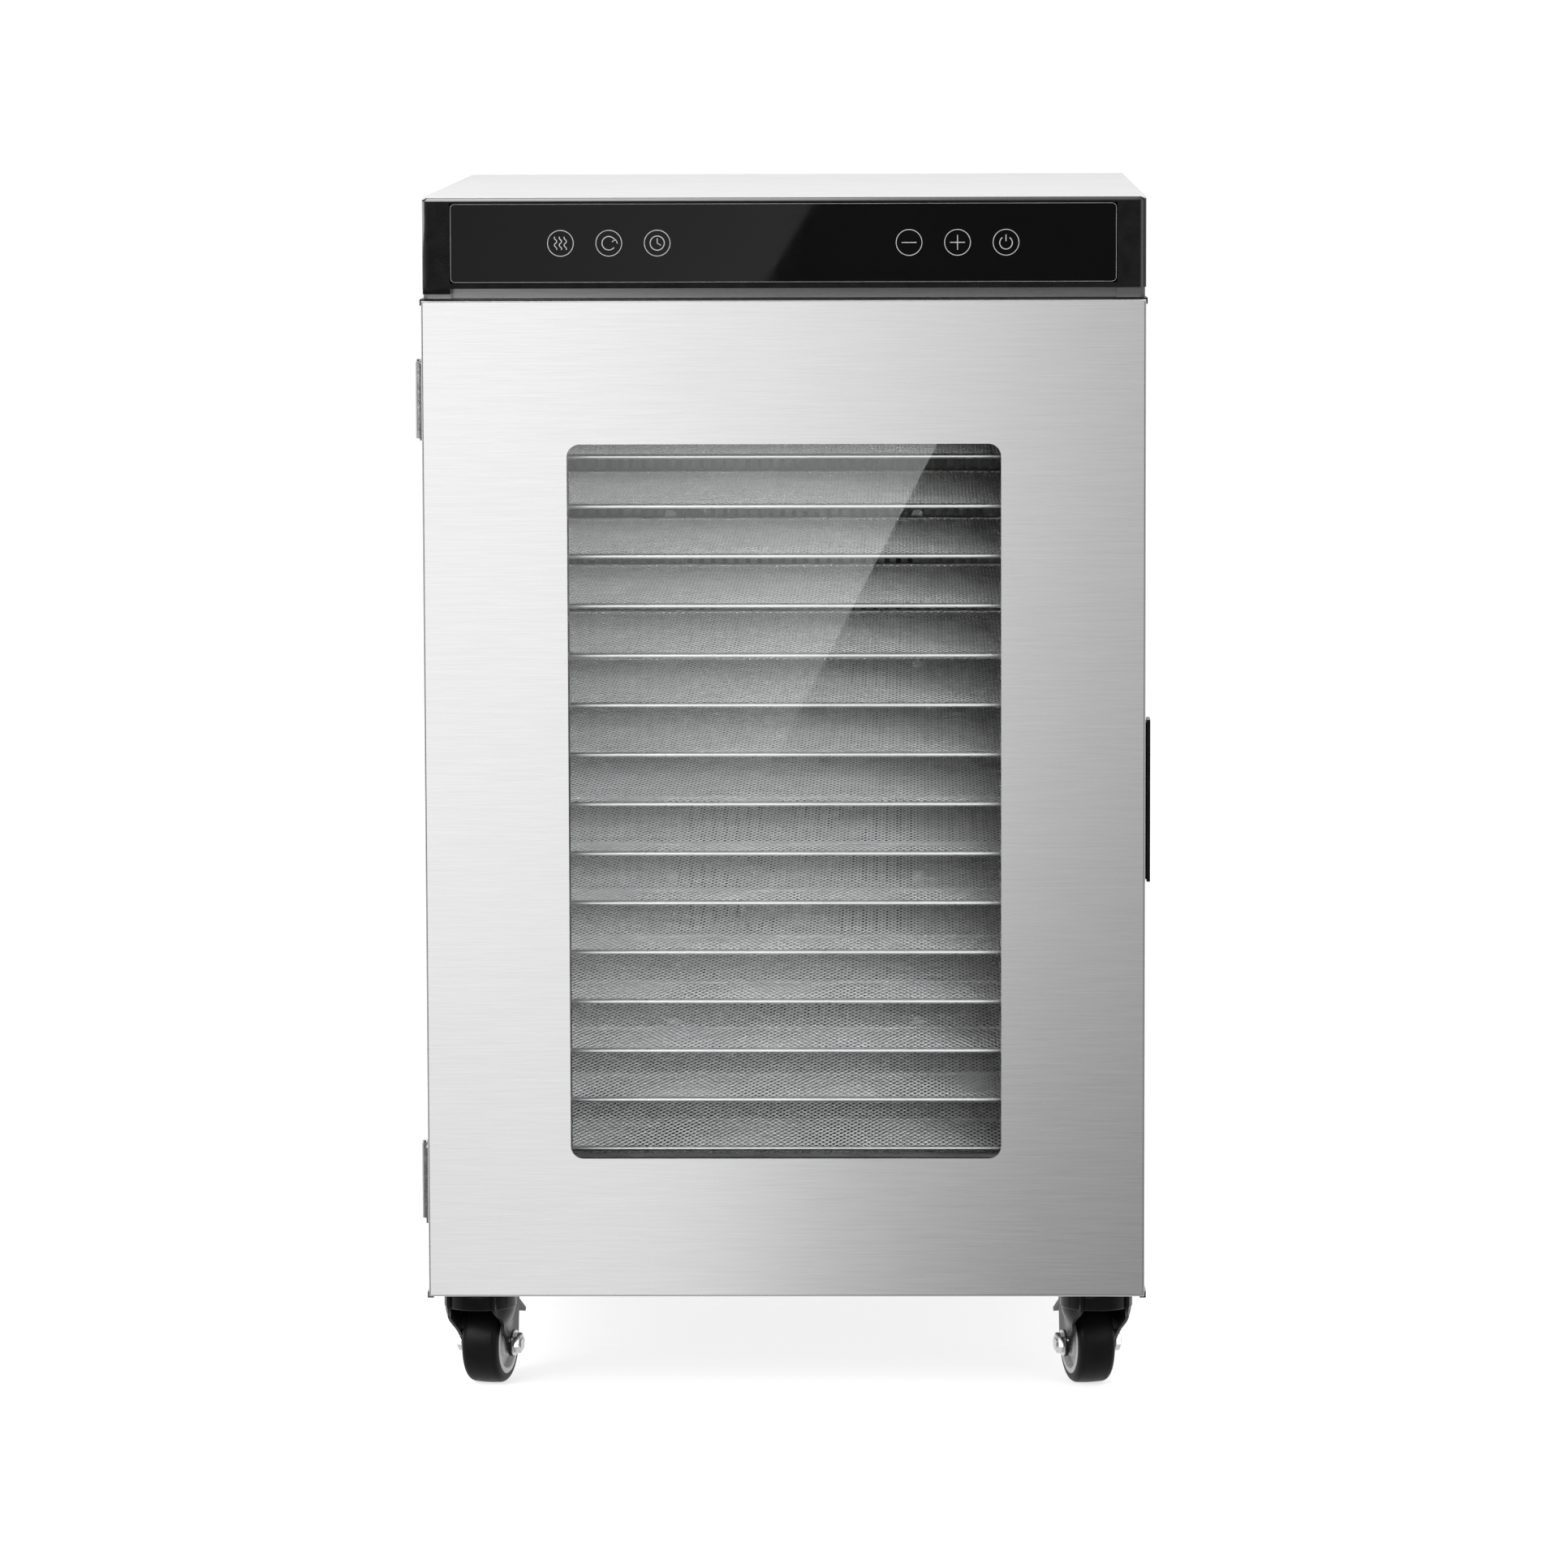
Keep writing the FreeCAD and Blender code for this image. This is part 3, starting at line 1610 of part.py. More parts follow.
build_all()
check_all()
export_all()
for label, thing in sorted(nodes.items()):
    solids = len(thing.Shape.Solids)
    print(f"{label}: {solids} solid(s), {thing.Shape.Volume / 1000:.1f} cm3")
print(f"{len(nodes)} sub-parts")
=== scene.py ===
import json
import math

import bmesh
import bpy
from mathutils import Matrix, Vector

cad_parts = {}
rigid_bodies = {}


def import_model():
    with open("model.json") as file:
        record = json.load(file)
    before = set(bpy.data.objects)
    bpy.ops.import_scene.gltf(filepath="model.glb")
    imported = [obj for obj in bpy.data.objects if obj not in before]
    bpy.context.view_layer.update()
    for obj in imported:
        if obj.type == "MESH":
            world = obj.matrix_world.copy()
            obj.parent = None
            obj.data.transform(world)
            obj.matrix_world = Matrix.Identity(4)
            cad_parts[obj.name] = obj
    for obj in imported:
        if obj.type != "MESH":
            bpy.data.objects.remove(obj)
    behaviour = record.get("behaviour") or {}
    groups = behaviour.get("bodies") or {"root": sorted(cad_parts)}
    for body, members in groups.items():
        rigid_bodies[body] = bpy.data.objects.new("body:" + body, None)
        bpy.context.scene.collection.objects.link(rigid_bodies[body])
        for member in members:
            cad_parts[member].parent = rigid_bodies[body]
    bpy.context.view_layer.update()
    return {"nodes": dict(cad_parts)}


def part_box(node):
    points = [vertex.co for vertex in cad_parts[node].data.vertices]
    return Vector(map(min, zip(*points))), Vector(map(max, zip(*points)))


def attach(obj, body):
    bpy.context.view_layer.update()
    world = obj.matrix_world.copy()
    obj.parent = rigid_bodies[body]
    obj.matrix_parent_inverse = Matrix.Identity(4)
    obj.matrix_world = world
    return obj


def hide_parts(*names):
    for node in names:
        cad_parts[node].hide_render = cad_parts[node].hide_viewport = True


# The looks of a food dehydrator: a brushed steel cabinet with a glazed door, sixteen mesh
# trays, a black touch panel and four casters. Lengths in the tables are in millimetres.

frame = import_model()
MM = 0.001
scene = bpy.context.scene
nodes = frame["nodes"]


# ---- camera -----------------------------------------------------------------------------


# radians
PITCH, YAW, ROLL = 0.1071, -0.0179, -0.0032
CAMERA_PLACE = (0.08287, -4.93715, 0.8937)
FOCAL_LENGTH, SENSOR_WIDTH = 172.36, 36.0


def add_camera():
    """Looks slightly down at the front, from far off, as a product camera does."""
    forward = Vector(
        (math.sin(YAW) * math.cos(PITCH), math.cos(YAW) * math.cos(PITCH), -math.sin(PITCH))
    )
    right = Vector((math.cos(YAW), -math.sin(YAW), 0.0))
    up = right.cross(forward)
    right, up = (
        math.cos(ROLL) * right + math.sin(ROLL) * up,
        math.cos(ROLL) * up - math.sin(ROLL) * right,
    )
    data = bpy.data.cameras.new("Camera")
    data.sensor_width = SENSOR_WIDTH
    data.lens = FOCAL_LENGTH
    data.clip_end = 200.0
    camera = bpy.data.objects.new("Camera", data)
    turn = Matrix((right, up, -forward)).transposed().to_4x4()
    camera.matrix_world = Matrix.Translation(CAMERA_PLACE) @ turn
    scene.collection.objects.link(camera)
    scene.camera = camera


# ---- materials --------------------------------------------------------------------------


class Look:
    """A procedural material: one Principled shader and the patterns that feed it."""

    def __init__(self, name, **constants):
        self.material = bpy.data.materials.new(name)
        self.material.use_nodes = True
        self.tree = self.material.node_tree
        self.shader = self.tree.nodes["Principled BSDF"]
        self.output = self.tree.nodes["Material Output"]
        for socket, value in constants.items():
            self.shader.inputs[socket.replace("_", " ")].default_value = value

    def node(self, kind, **inputs):
        made = self.tree.nodes.new(kind)
        for socket, value in inputs.items():
            target = made.inputs[socket.replace("_", " ")]
            if isinstance(value, bpy.types.NodeSocket):
                self.tree.links.new(value, target)
            else:
                target.default_value = value
        return made

    def feed(self, socket, value):
        self.tree.links.new(value, self.shader.inputs[socket])

    def noise(self, scale, detail=3.0, roughness=0.55):
        """Noise in the object's own space, with one scale for each axis, per metre."""
        place = self.node("ShaderNodeTexCoord").outputs["Object"]
        stretched = self.node("ShaderNodeMapping", Vector=place, Scale=scale)
        made = self.node(
            "ShaderNodeTexNoise",
            Vector=stretched.outputs["Vector"],
            Scale=1.0,
            Detail=detail,
            Roughness=roughness,
        )
        return made.outputs["Fac"]

    def spread(self, value, low, high, start=0.3, end=0.7):
        made = self.node("ShaderNodeMapRange", Value=value)
        made.inputs["From Min"].default_value = start
        made.inputs["From Max"].default_value = end
        made.inputs["To Min"].default_value = low
        made.inputs["To Max"].default_value = high
        return made.outputs["Result"]

    def colours(self, value, dark, light, start=0.3, end=0.7):
        made = self.node("ShaderNodeValToRGB", Fac=value)
        stops = made.color_ramp.elements
        stops[0].position, stops[1].position = start, end
        stops[0].color, stops[1].color = (*dark, 1.0), (*light, 1.0)
        return made.outputs["Color"]

    def bump(self, value, strength, distance):
        made = self.node("ShaderNodeBump", Height=value, Strength=strength, Distance=distance)
        self.feed("Normal", made.outputs["Normal"])


def grey(value):
    return (value, value, value)


def brushed(name, dark, light, rough, grain, turn=0.0, bump=0.12):
    """Steel with a fine grain along one axis: it stretches a reflection across the grain."""
    look = Look(name, Metallic=1.0, Anisotropic=0.62, Anisotropic_Rotation=turn)
    fine = look.noise(grain, detail=4.0)
    cloud = look.noise(grey(5.0), detail=2.0)
    look.feed("Base Color", look.colours(fine, dark, light))
    mixed = look.node("ShaderNodeMath", Value=fine)
    mixed.operation = "MULTIPLY_ADD"
    look.tree.links.new(cloud, mixed.inputs[1])
    mixed.inputs[2].default_value = 0.28
    look.feed("Roughness", look.spread(mixed.outputs["Value"], rough[0], rough[1]))
    look.bump(fine, bump, 0.00004)
    tangent = look.node("ShaderNodeTangent")
    tangent.direction_type = "RADIAL"
    tangent.axis = "Z"
    look.feed("Tangent", tangent.outputs["Tangent"])
    return look.material


def mottled(name, dark, light, rough, scale=400.0, bump=0.1, distance=0.0001, **constants):
    """A plain material whose colour, gloss and surface vary a little."""
    look = Look(name, **constants)
    fine = look.noise(grey(scale), detail=4.0)
    broad = look.noise(grey(scale / 14.0), detail=2.0)
    look.feed("Base Color", look.colours(broad, dark, light))
    look.feed("Roughness", look.spread(fine, rough[0], rough[1]))
    look.bump(fine, bump, distance)
    return look.material


# a pane's two faces mirror nearly twice what one does
BOTH_FACES = 1.9
GLASS_TINT = (0.965, 0.97, 0.97, 1.0)
GLASS_IOR = 1.45


def clear_glass():
    """Clear glass: its outer faces mirror by the angle of view, and the rest is see-through."""
    look = Look("clear_glass", Metallic=1.0)
    look.shader.inputs["Base Color"].default_value = GLASS_TINT
    look.feed("Roughness", look.spread(look.noise(grey(30.0)), 0.0, 0.012))
    fresnel = look.node("ShaderNodeFresnel", IOR=GLASS_IOR).outputs[0]
    mirror = look.node("ShaderNodeMath", Value=fresnel)
    mirror.operation = "MULTIPLY"
    mirror.use_clamp = True
    mirror.inputs[1].default_value = BOTH_FACES
    inner = look.node("ShaderNodeNewGeometry").outputs["Backfacing"]
    outer = look.node("ShaderNodeMath", Value=mirror.outputs["Value"])
    outer.operation = "MULTIPLY"
    look.tree.links.new(look.spread(inner, 1.0, 0.0, 0.0, 1.0), outer.inputs[1])
    through = look.node("ShaderNodeBsdfTransparent", Color=GLASS_TINT)
    mix = look.node("ShaderNodeMixShader")
    look.tree.links.new(outer.outputs["Value"], mix.inputs[0])
    look.tree.links.new(through.outputs["BSDF"], mix.inputs[1])
    look.tree.links.new(look.shader.outputs["BSDF"], mix.inputs[2])
    look.tree.links.new(mix.outputs["Shader"], look.output.inputs["Surface"])
    return look.material


BOARD_GREENS = ((0.012, 0.07, 0.03), (0.02, 0.12, 0.05))
BOARD_PARTS = ((0.02, 0.02, 0.025), (0.10, 0.09, 0.05))


def board_look(name, green_top):
    """A green board below the height green_top, and dark parts that stand on it."""
    look = Look(name, Metallic=0.0)
    fine = look.noise(grey(900.0))
    place = look.node("ShaderNodeTexCoord").outputs["Object"]
    height = look.node("ShaderNodeSeparateXYZ", Vector=place).outputs["Z"]
    parts = look.spread(height, 0.0, 1.0, green_top, green_top + 0.0004)
    green = look.colours(fine, *BOARD_GREENS)
    dark = look.colours(look.noise(grey(120.0)), *BOARD_PARTS)
    mix = look.tree.nodes.new("ShaderNodeMix")
    mix.data_type = "RGBA"
    look.tree.links.new(parts, mix.inputs[0])
    look.tree.links.new(green, mix.inputs[6])
    look.tree.links.new(dark, mix.inputs[7])
    look.feed("Base Color", mix.outputs[2])
    look.feed("Roughness", look.spread(fine, 0.3, 0.5))
    return look.material


# noise per metre along x, y and z: it changes fastest upwards, so the grain runs level
LEVEL_GRAIN = (30.0, 30.0, 2600.0)
def steel_looks():
    return {
        "door": brushed("door_steel", grey(0.80), grey(0.90), (0.24, 0.31), LEVEL_GRAIN, turn=0.25),
        # the front rail is the door's steel painted darker: painted shade, for the shadow under the
        # control housing
        "rail": brushed("rail_steel_painted_shade", grey(0.34), grey(0.44), (0.22, 0.30), LEVEL_GRAIN, turn=0.25),
        "shell": brushed(
            "shell_steel", grey(0.80), grey(0.88), (0.36, 0.46), LEVEL_GRAIN, bump=0.06
        ),
        # the chamber's steel is the door's steel painted darker: painted shade inside the closed
        # cabinet
        "chamber": brushed("chamber_steel", grey(0.26), grey(0.36), (0.32, 0.44), LEVEL_GRAIN),
        "pale": mottled(
            "pale_sheet",
            grey(0.81),
            grey(0.84),
            (0.55, 0.65),
            bump=0.03,
            Specular_IOR_Level=0.25,
        ),
        "galvanised": mottled("galvanised", grey(0.54), grey(0.60), (0.35, 0.5), Metallic=1.0),
        "tray": mottled(
            "tray_steel", grey(0.80), grey(0.92), (0.36, 0.46), scale=700.0, Metallic=0.6
        ),
        "bar": mottled("tray_bar_steel", grey(0.80), grey(0.90), (0.26, 0.34), Metallic=1.0),
        "fan": mottled("fan_metal", grey(0.5), grey(0.62), (0.3, 0.42), Metallic=1.0),
        "motor": mottled("motor_steel", grey(0.12), grey(0.18), (0.35, 0.5), Metallic=0.8),
        "heater": mottled(
            "heater_tube", (0.13, 0.10, 0.09), (0.20, 0.15, 0.12), (0.4, 0.6), Metallic=0.9
        ),
        "bright": mottled(
            "polished_steel", grey(0.72), grey(0.84), (0.12, 0.22), scale=900.0, Metallic=1.0
        ),
        "hinge": mottled("hinge_steel", grey(0.80), grey(0.90), (0.24, 0.34), Metallic=1.0),
    }


# from the foot of the power board's posts to the top of the board itself
BOARD_TOP = 7.7


def other_looks():
    board_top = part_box("power_board")[0].z + BOARD_TOP * MM
    return {
        "power_board": board_look("power_board_look", board_top),
        "control_board": mottled("control_board_look", *BOARD_GREENS, (0.3, 0.5), scale=900.0),
        "plastic": mottled(
            "black_plastic",
            grey(0.006),
            grey(0.010),
            (0.20, 0.30),
            scale=1500.0,
            bump=0.04,
            Specular_IOR_Level=0.22,
        ),
        "panel": mottled(
            "black_glass",
            grey(0.0035),
            grey(0.0050),
            (0.02, 0.05),
            scale=120.0,
            bump=0.005,
            Specular_IOR_Level=0.3,
        ),
        "print": mottled("panel_print", grey(0.42), grey(0.50), (0.4, 0.5), scale=2000.0),
        "glass": clear_glass(),
        "wire": mottled("wire_jacket", grey(0.03), grey(0.05), (0.4, 0.55)),
        "rubber": mottled("black_rubber", grey(0.010), grey(0.018), (0.5, 0.7), scale=900.0),
        "caster": mottled(
            "caster_steel",
            grey(0.006),
            grey(0.011),
            (0.16, 0.26),
            scale=600.0,
            bump=0.12,
            Specular_IOR_Level=0.3,
        ),
        "tread": mottled(
            "caster_tread",
            grey(0.006),
            grey(0.010),
            (0.36, 0.48),
            scale=500.0,
            bump=0.2,
            Specular_IOR_Level=0.16,
        ),
        "core": mottled("caster_core", grey(0.46), grey(0.56), (0.4, 0.5), scale=500.0),
    }


CAD_LOOKS = {
    "shell": ("side_panel_left", "side_panel_right"),
    "pale": ("top_panel",),
    "galvanised": ("base_panel", "rear_panel"),
    "door": ("door_skin",),
    "rail": ("front_frame",),
    "chamber": (
        "liner_left",
        "liner_right",
        "chamber_roof",
        "chamber_floor",
        "air_baffle",
        "door_liner",
    ),
    "fan": ("fan_impeller_upper", "fan_impeller_lower"),
    "motor": ("fan_motors",),
    "heater": ("heater_elements",),
    "bright": ("temperature_probe", "hinge_pins", "magnet_catches", "cabinet_screws"),
    "power_board": ("power_board",),
    "control_board": ("control_board",),
    "plastic": ("control_fascia", "power_inlet", "door_corner_caps", "door_handle"),
    "glass": ("door_glass",),
    "wire": ("wiring_loom",),
    "rubber": ("door_gaskets",),
    "hinge": ("hinge_cabinet_leaves", "hinge_door_leaves"),
    "caster": ("caster_plates", "brake_pedal_left", "brake_pedal_right"),
}


def dress_cad(looks):
    for look, names in CAD_LOOKS.items():
        for name in names:
            mesh = nodes[name].data
            mesh.materials.clear()
            mesh.materials.append(looks[look])


# ---- mesh helpers -----------------------------------------------------------------------


def finish_mesh(name, bm, materials, smooth=35.0):
    """Turns a bmesh in millimetres into a mesh in metres, smooth except at sharp edges."""
    bmesh.ops.recalc_face_normals(bm, faces=bm.faces[:])
    bmesh.ops.scale(bm, vec=(MM, MM, MM), verts=bm.verts[:])
    mesh = bpy.data.meshes.new(name)
    bm.to_mesh(mesh)
    bm.free()
    for material in materials:
        mesh.materials.append(material)
    mesh.polygons.foreach_set("use_smooth", [True] * len(mesh.polygons))
    mesh.set_sharp_from_angle(angle=math.radians(smooth))
    return mesh


def add_piece(name, mesh, body, stands_for=(), at=None):
    piece = bpy.data.objects.new(name, mesh)
    scene.collection.objects.link(piece)
    if at is not None:
        piece.matrix_world = at
    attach(piece, body)
    if stands_for:
        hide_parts(*stands_for)
    return piece


def join_rows(bm, rows, around=True, ends=False):
    """Faces between rows of vertices; each row closes on itself when around is set."""
    count = len(rows[0])
    steps = count if around else count - 1
    for low, high in zip(rows, rows[1:]):
        for i in range(steps):
            j = (i + 1) % count
            bm.faces.new((low[i], low[j], high[j], high[i]))
    if ends:
        bm.faces.new(rows[0])
        bm.faces.new(list(reversed(rows[-1])))


def lathe(bm, profile, segments, axis="x", centre=(0.0, 0.0, 0.0), closed=False):
    """Turns a profile of (radius, place along the axis) round that axis."""
    rows = []
    for radius, along in profile:
        row = []
        for i in range(segments):
            angle = 2 * math.pi * i / segments
            a, b = radius * math.cos(angle), radius * math.sin(angle)
            spot = {"x": (along, a, b), "y": (b, along, a), "z": (a, b, along)}[axis]
            row.append(bm.verts.new(Vector(spot) + Vector(centre)))
        rows.append(row)
    if closed:
        rows.append(rows[0])
    join_rows(bm, rows, ends=not closed)


def arc(centre, radius, start, end, steps):
    """Points on an arc between two angles in degrees."""
    found = []
    for i in range(steps + 1):
        angle = math.radians(start + (end - start) * i / steps)
        found.append((centre[0] + radius * math.cos(angle), centre[1] + radius * math.sin(angle)))
    return found


def rounded_rectangle(left, right, low, high, radius, steps=6):
    points = []
    corners = ((right, high, 0), (left, high, 90), (left, low, 180), (right, low, 270))
    for x, y, start in corners:
        centre = (
            x - radius if x == right else x + radius,
            y - radius if y == high else y + radius,
        )
        points += arc(centre, radius, start, start + 90, steps)
    return points


def slab(bm, outline, front, back, bevel=0.0):
    """A plate in the plane that faces -Y, from an outline of (x, z), with a soft front edge."""
    middle_x = sum(p[0] for p in outline) / len(outline)
    middle_z = sum(p[1] for p in outline) / len(outline)
    layers = [(back, 0.0), (front + bevel, 0.0)]
    if bevel:
        part = bevel * 0.3
        layers += [(front + part, part), (front, bevel)]
    rows = []
    for y, inset in layers:
        row = []
        for x, z in outline:
            across, up = x - middle_x, z - middle_z
            new_x = x - math.copysign(min(inset, abs(across)), across)
            new_z = z - math.copysign(min(inset, abs(up)), up)
            row.append(bm.verts.new((new_x, y, new_z)))
        rows.append(row)
    join_rows(bm, rows, ends=True)


def stroke(bm, points, width, front, back, closed=False):
    """A flat line along points of (x, z): printed marks, and the painted edge highlight."""
    count = len(points)
    rows = []
    for i, (x, z) in enumerate(points):
        before = points[(i - 1) % count] if closed or i else points[i]
        after = points[(i + 1) % count] if closed or i < count - 1 else points[i]
        along = Vector((after[0] - before[0], after[1] - before[1])).normalized()
        side = Vector((-along.y, along.x)) * (width / 2)
        rows.append(
            [
                bm.verts.new((x + side.x, front, z + side.y)),
                bm.verts.new((x - side.x, front, z - side.y)),
                bm.verts.new((x - side.x, back, z - side.y)),
                bm.verts.new((x + side.x, back, z + side.y)),
            ]
        )
    if closed:
        rows.append(rows[0])
        join_rows(bm, rows)
    else:
        join_rows(bm, rows, ends=True)


# ---- trays ------------------------------------------------------------------------------

TRAY_COUNT = 16
# the pitch of the mesh's cells from side to side, and from front to back
PITCH_ACROSS, PITCH_DEEP = 4.5, 15.0
# the tilt is in degrees; each family of strands lies a little above or below the other
STRAND_WIDTH, STRAND_THICK, STRAND_TILT, STRAND_LIFT = 0.86, 0.44, 12.0, 0.08
HALF_BAR, BAR_HEIGHT, BAR_FLAT = 2.5, 1.5, 1.0
TRAY_CORNER = 6.0


def mesh_strands(bm, box, sign):
    """One of the two families of slanting strands that make the diamond mesh."""
    x0, x1, y0, y1 = box
    slope = sign * PITCH_DEEP / PITCH_ACROSS
    reach = abs(slope) * max(abs(x0), abs(x1))
    first = math.ceil((y0 - reach) / PITCH_DEEP)
    last = math.floor((y1 + reach) / PITCH_DEEP)
    along = Vector((1.0, slope, 0.0)).normalized()
    across = Vector((-along.y, along.x, 0.0))
    up = Vector((0.0, 0.0, 1.0))
    tilt = math.radians(STRAND_TILT) * sign
    wide = (across * math.cos(tilt) + up * math.sin(tilt)) * (STRAND_WIDTH / 2)
    thick = (up * math.cos(tilt) - across * math.sin(tilt)) * (STRAND_THICK / 2)
    lift = up * (STRAND_LIFT * sign)
    for index in range(first, last + 1):
        offset = index * PITCH_DEEP
        ends = sorted(((y0 - offset) / slope, (y1 - offset) / slope))
        start, end = max(x0, ends[0]), min(x1, ends[1])
        if end - start < PITCH_ACROSS / 2:
            continue
        rows = []
        for x in (start, end):
            spot = Vector((x, offset + slope * x, 0.0)) + lift
            corners = (wide + thick, thick - wide, -wide - thick, wide - thick)
            rows.append([bm.verts.new(spot + corner) for corner in corners])
        join_rows(bm, rows)


def tray_bar(box):
    """A rounded bar that runs along a tray's edges, about the tray's own middle height."""
    bm = bmesh.new()
    path = rounded_rectangle(*box, TRAY_CORNER, steps=5)
    section = arc((BAR_FLAT, 0.0), BAR_HEIGHT, -90, 90, 8)
    section += arc((-BAR_FLAT, 0.0), BAR_HEIGHT, 90, 270, 8)
    rows = []
    count = len(path)
    for i, (x, y) in enumerate(path):
        before, after = path[i - 1], path[(i + 1) % count]
        along = Vector((after[0] - before[0], after[1] - before[1])).normalized()
        out = Vector((along.y, -along.x))
        rows.append([bm.verts.new((x + out.x * u, y + out.y * u, z)) for u, z in section])
    rows.append(rows[0])
    join_rows(bm, rows)
    return bm


def add_trays(looks):
    low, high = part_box("tray_01")
    x0, x1, y0, y1 = (value / MM for value in (low.x, high.x, low.y, high.y))
    middle = (x0 + HALF_BAR, x1 - HALF_BAR, y0 + HALF_BAR, y1 - HALF_BAR)
    bar = finish_mesh("tray_bar", tray_bar(middle), [looks["bar"]], smooth=40.0)
    bm = bmesh.new()
    for sign in (1, -1):
        mesh_strands(bm, middle, sign)
    wire = finish_mesh("tray_wire", bm, [looks["tray"]], smooth=40.0)
    for index in range(1, TRAY_COUNT + 1):
        name = f"tray_{index:02d}"
        low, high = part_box(name)
        at = Matrix.Translation((0.0, 0.0, (low.z + high.z) / 2))
        add_piece(f"{name}_bar", bar, name, (name,), at)
        add_piece(f"{name}_wire", wire, name, (), at)


# ---- touch panel ------------------------------------------------------------------------

KEY_PLACES = (78.0, 108.0, 138.0)
RING_RADIUS, RING_LINE = 8.0, 0.42
CLOCK_RADIUS, SIGN_LINE = 4.4, 0.5
HALF_SIGN = 4.6
PANEL_CORNER, PANEL_BEVEL = 3.0, 0.35
# a grey line just inside the glass's rounded edge, in the colour of the printed keys: a painted
# highlight of that edge
EDGE_HIGHLIGHT_INSET, EDGE_HIGHLIGHT_CORNER, EDGE_HIGHLIGHT_LINE = 0.5, 2.6, 0.16
# how far back from the front of the printed keys the glass and the painted edge highlight begin
GLASS_BACK, EDGE_HIGHLIGHT_BACK = 0.04, 0.02
EDGE_HIGHLIGHT_END = 0.5


def ring(x, z, radius):
    return arc((x, z), radius, 0.0, 360.0, 40)[:-1]


def waves(x, z):
    """Three rising waves of warm air."""
    lines = []
    for across in (-3.0, 0.0, 3.0):
        line = []
        for i in range(17):
            up = -4.0 + 8.0 * i / 16
            line.append((x + across + 0.8 * math.sin(up * 1.4), z + up))
        lines.append(line)
    return lines


def turning_arrow(x, z):
    """Most of a circle, and an open head at its end."""
    head = [(x + 2.0, z + 0.8), (x + 4.2, z + 2.4), (x + 5.4, z - 0.2)]
    return [arc((x, z), 4.2, 20.0, 320.0, 30), head]


def clock_hands(x, z):
    return [[(x, z + 3.0), (x, z), (x + 2.2, z - 1.4)]]


def minus_sign(x, z):
    return [[(x - HALF_SIGN, z), (x + HALF_SIGN, z)]]


def plus_sign(x, z):
    """A minus sign, and two upright lines that stop at it."""
    gap = 0.26
    below = [(x, z - HALF_SIGN), (x, z - gap)]
    above = [(x, z + gap), (x, z + HALF_SIGN)]
    return [*minus_sign(x, z), below, above]


def power_sign(x, z):
    return [arc((x, z - 0.3), 3.9, 125.0, 415.0, 30), [(x, z + 0.6), (x, z + 4.8)]]


def print_key(bm, x, z, sign, front, back):
    """A ring with a sign inside it; the clock has a ring of its own."""
    stroke(bm, ring(x, z, RING_RADIUS), RING_LINE, front, back, closed=True)
    if sign == clock_hands:
        stroke(bm, ring(x, z, CLOCK_RADIUS), SIGN_LINE, front, back, closed=True)
    for line in sign(x, z):
        stroke(bm, line, SIGN_LINE, front, back)


def add_touch_panel(looks):
    """Black glass with six keys printed on it, a ring and a sign for each, and a painted highlight
    of its edge: a grey line just inside it.
    """
    low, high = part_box("touch_panel")
    x0, x1, z0, z1 = (value / MM for value in (low.x, high.x, low.z, high.z))
    front, back = low.y / MM, high.y / MM
    bm = bmesh.new()
    outline = rounded_rectangle(x0, x1, z0, z1, PANEL_CORNER)
    slab(bm, outline, front + GLASS_BACK, back, bevel=PANEL_BEVEL)
    glass = finish_mesh("panel_glass", bm, [looks["panel"]], smooth=12.0)
    add_piece("panel_glass", glass, "root", ("touch_panel",))
    bm = bmesh.new()
    z = (z0 + z1) / 2
    signs = (clock_hands, turning_arrow, waves, minus_sign, plus_sign, power_sign)
    places = [-x for x in KEY_PLACES] + list(KEY_PLACES)
    for x, sign in zip(places, signs):
        print_key(bm, x, z, sign, front, back)
    # the painted edge highlight: a grey line just inside the glass's edge
    inset = EDGE_HIGHLIGHT_INSET
    edges = (x0 + inset, x1 - inset, z0 + inset, z1 - inset)
    outline = rounded_rectangle(*edges, EDGE_HIGHLIGHT_CORNER)
    stroke(bm, outline, EDGE_HIGHLIGHT_LINE, front + EDGE_HIGHLIGHT_BACK, front + EDGE_HIGHLIGHT_END, closed=True)
    mesh = finish_mesh("panel_print", bm, [looks["print"]])
    add_piece("panel_print", mesh, "root")


# ---- control housing --------------------------------------------------------------------

RIM_CHAMFER = 2.0
# a point inside the cabinet, of which only x and y matter
INSIDE_POINT = Vector((0.0, -200.0, 0.0))


def faces_out(face):
    """Whether a face is upright and looks away from the inside of the cabinet."""
    outward = face.calc_center_median() - INSIDE_POINT
    outward.z = 0.0
    return abs(face.normal.z) < 0.3 and face.normal.dot(outward) > 0


def outer_rim(bm):
    """The edges round the outside of a box-like shell at its top."""
    top = max(v.co.z for v in bm.verts) - 0.1
    found = []
    for edge in bm.edges:
        if len(edge.link_faces) != 2 or min(v.co.z for v in edge.verts) < top:
            continue
        if any(faces_out(face) for face in edge.link_faces):
            found.append(edge)
    return found


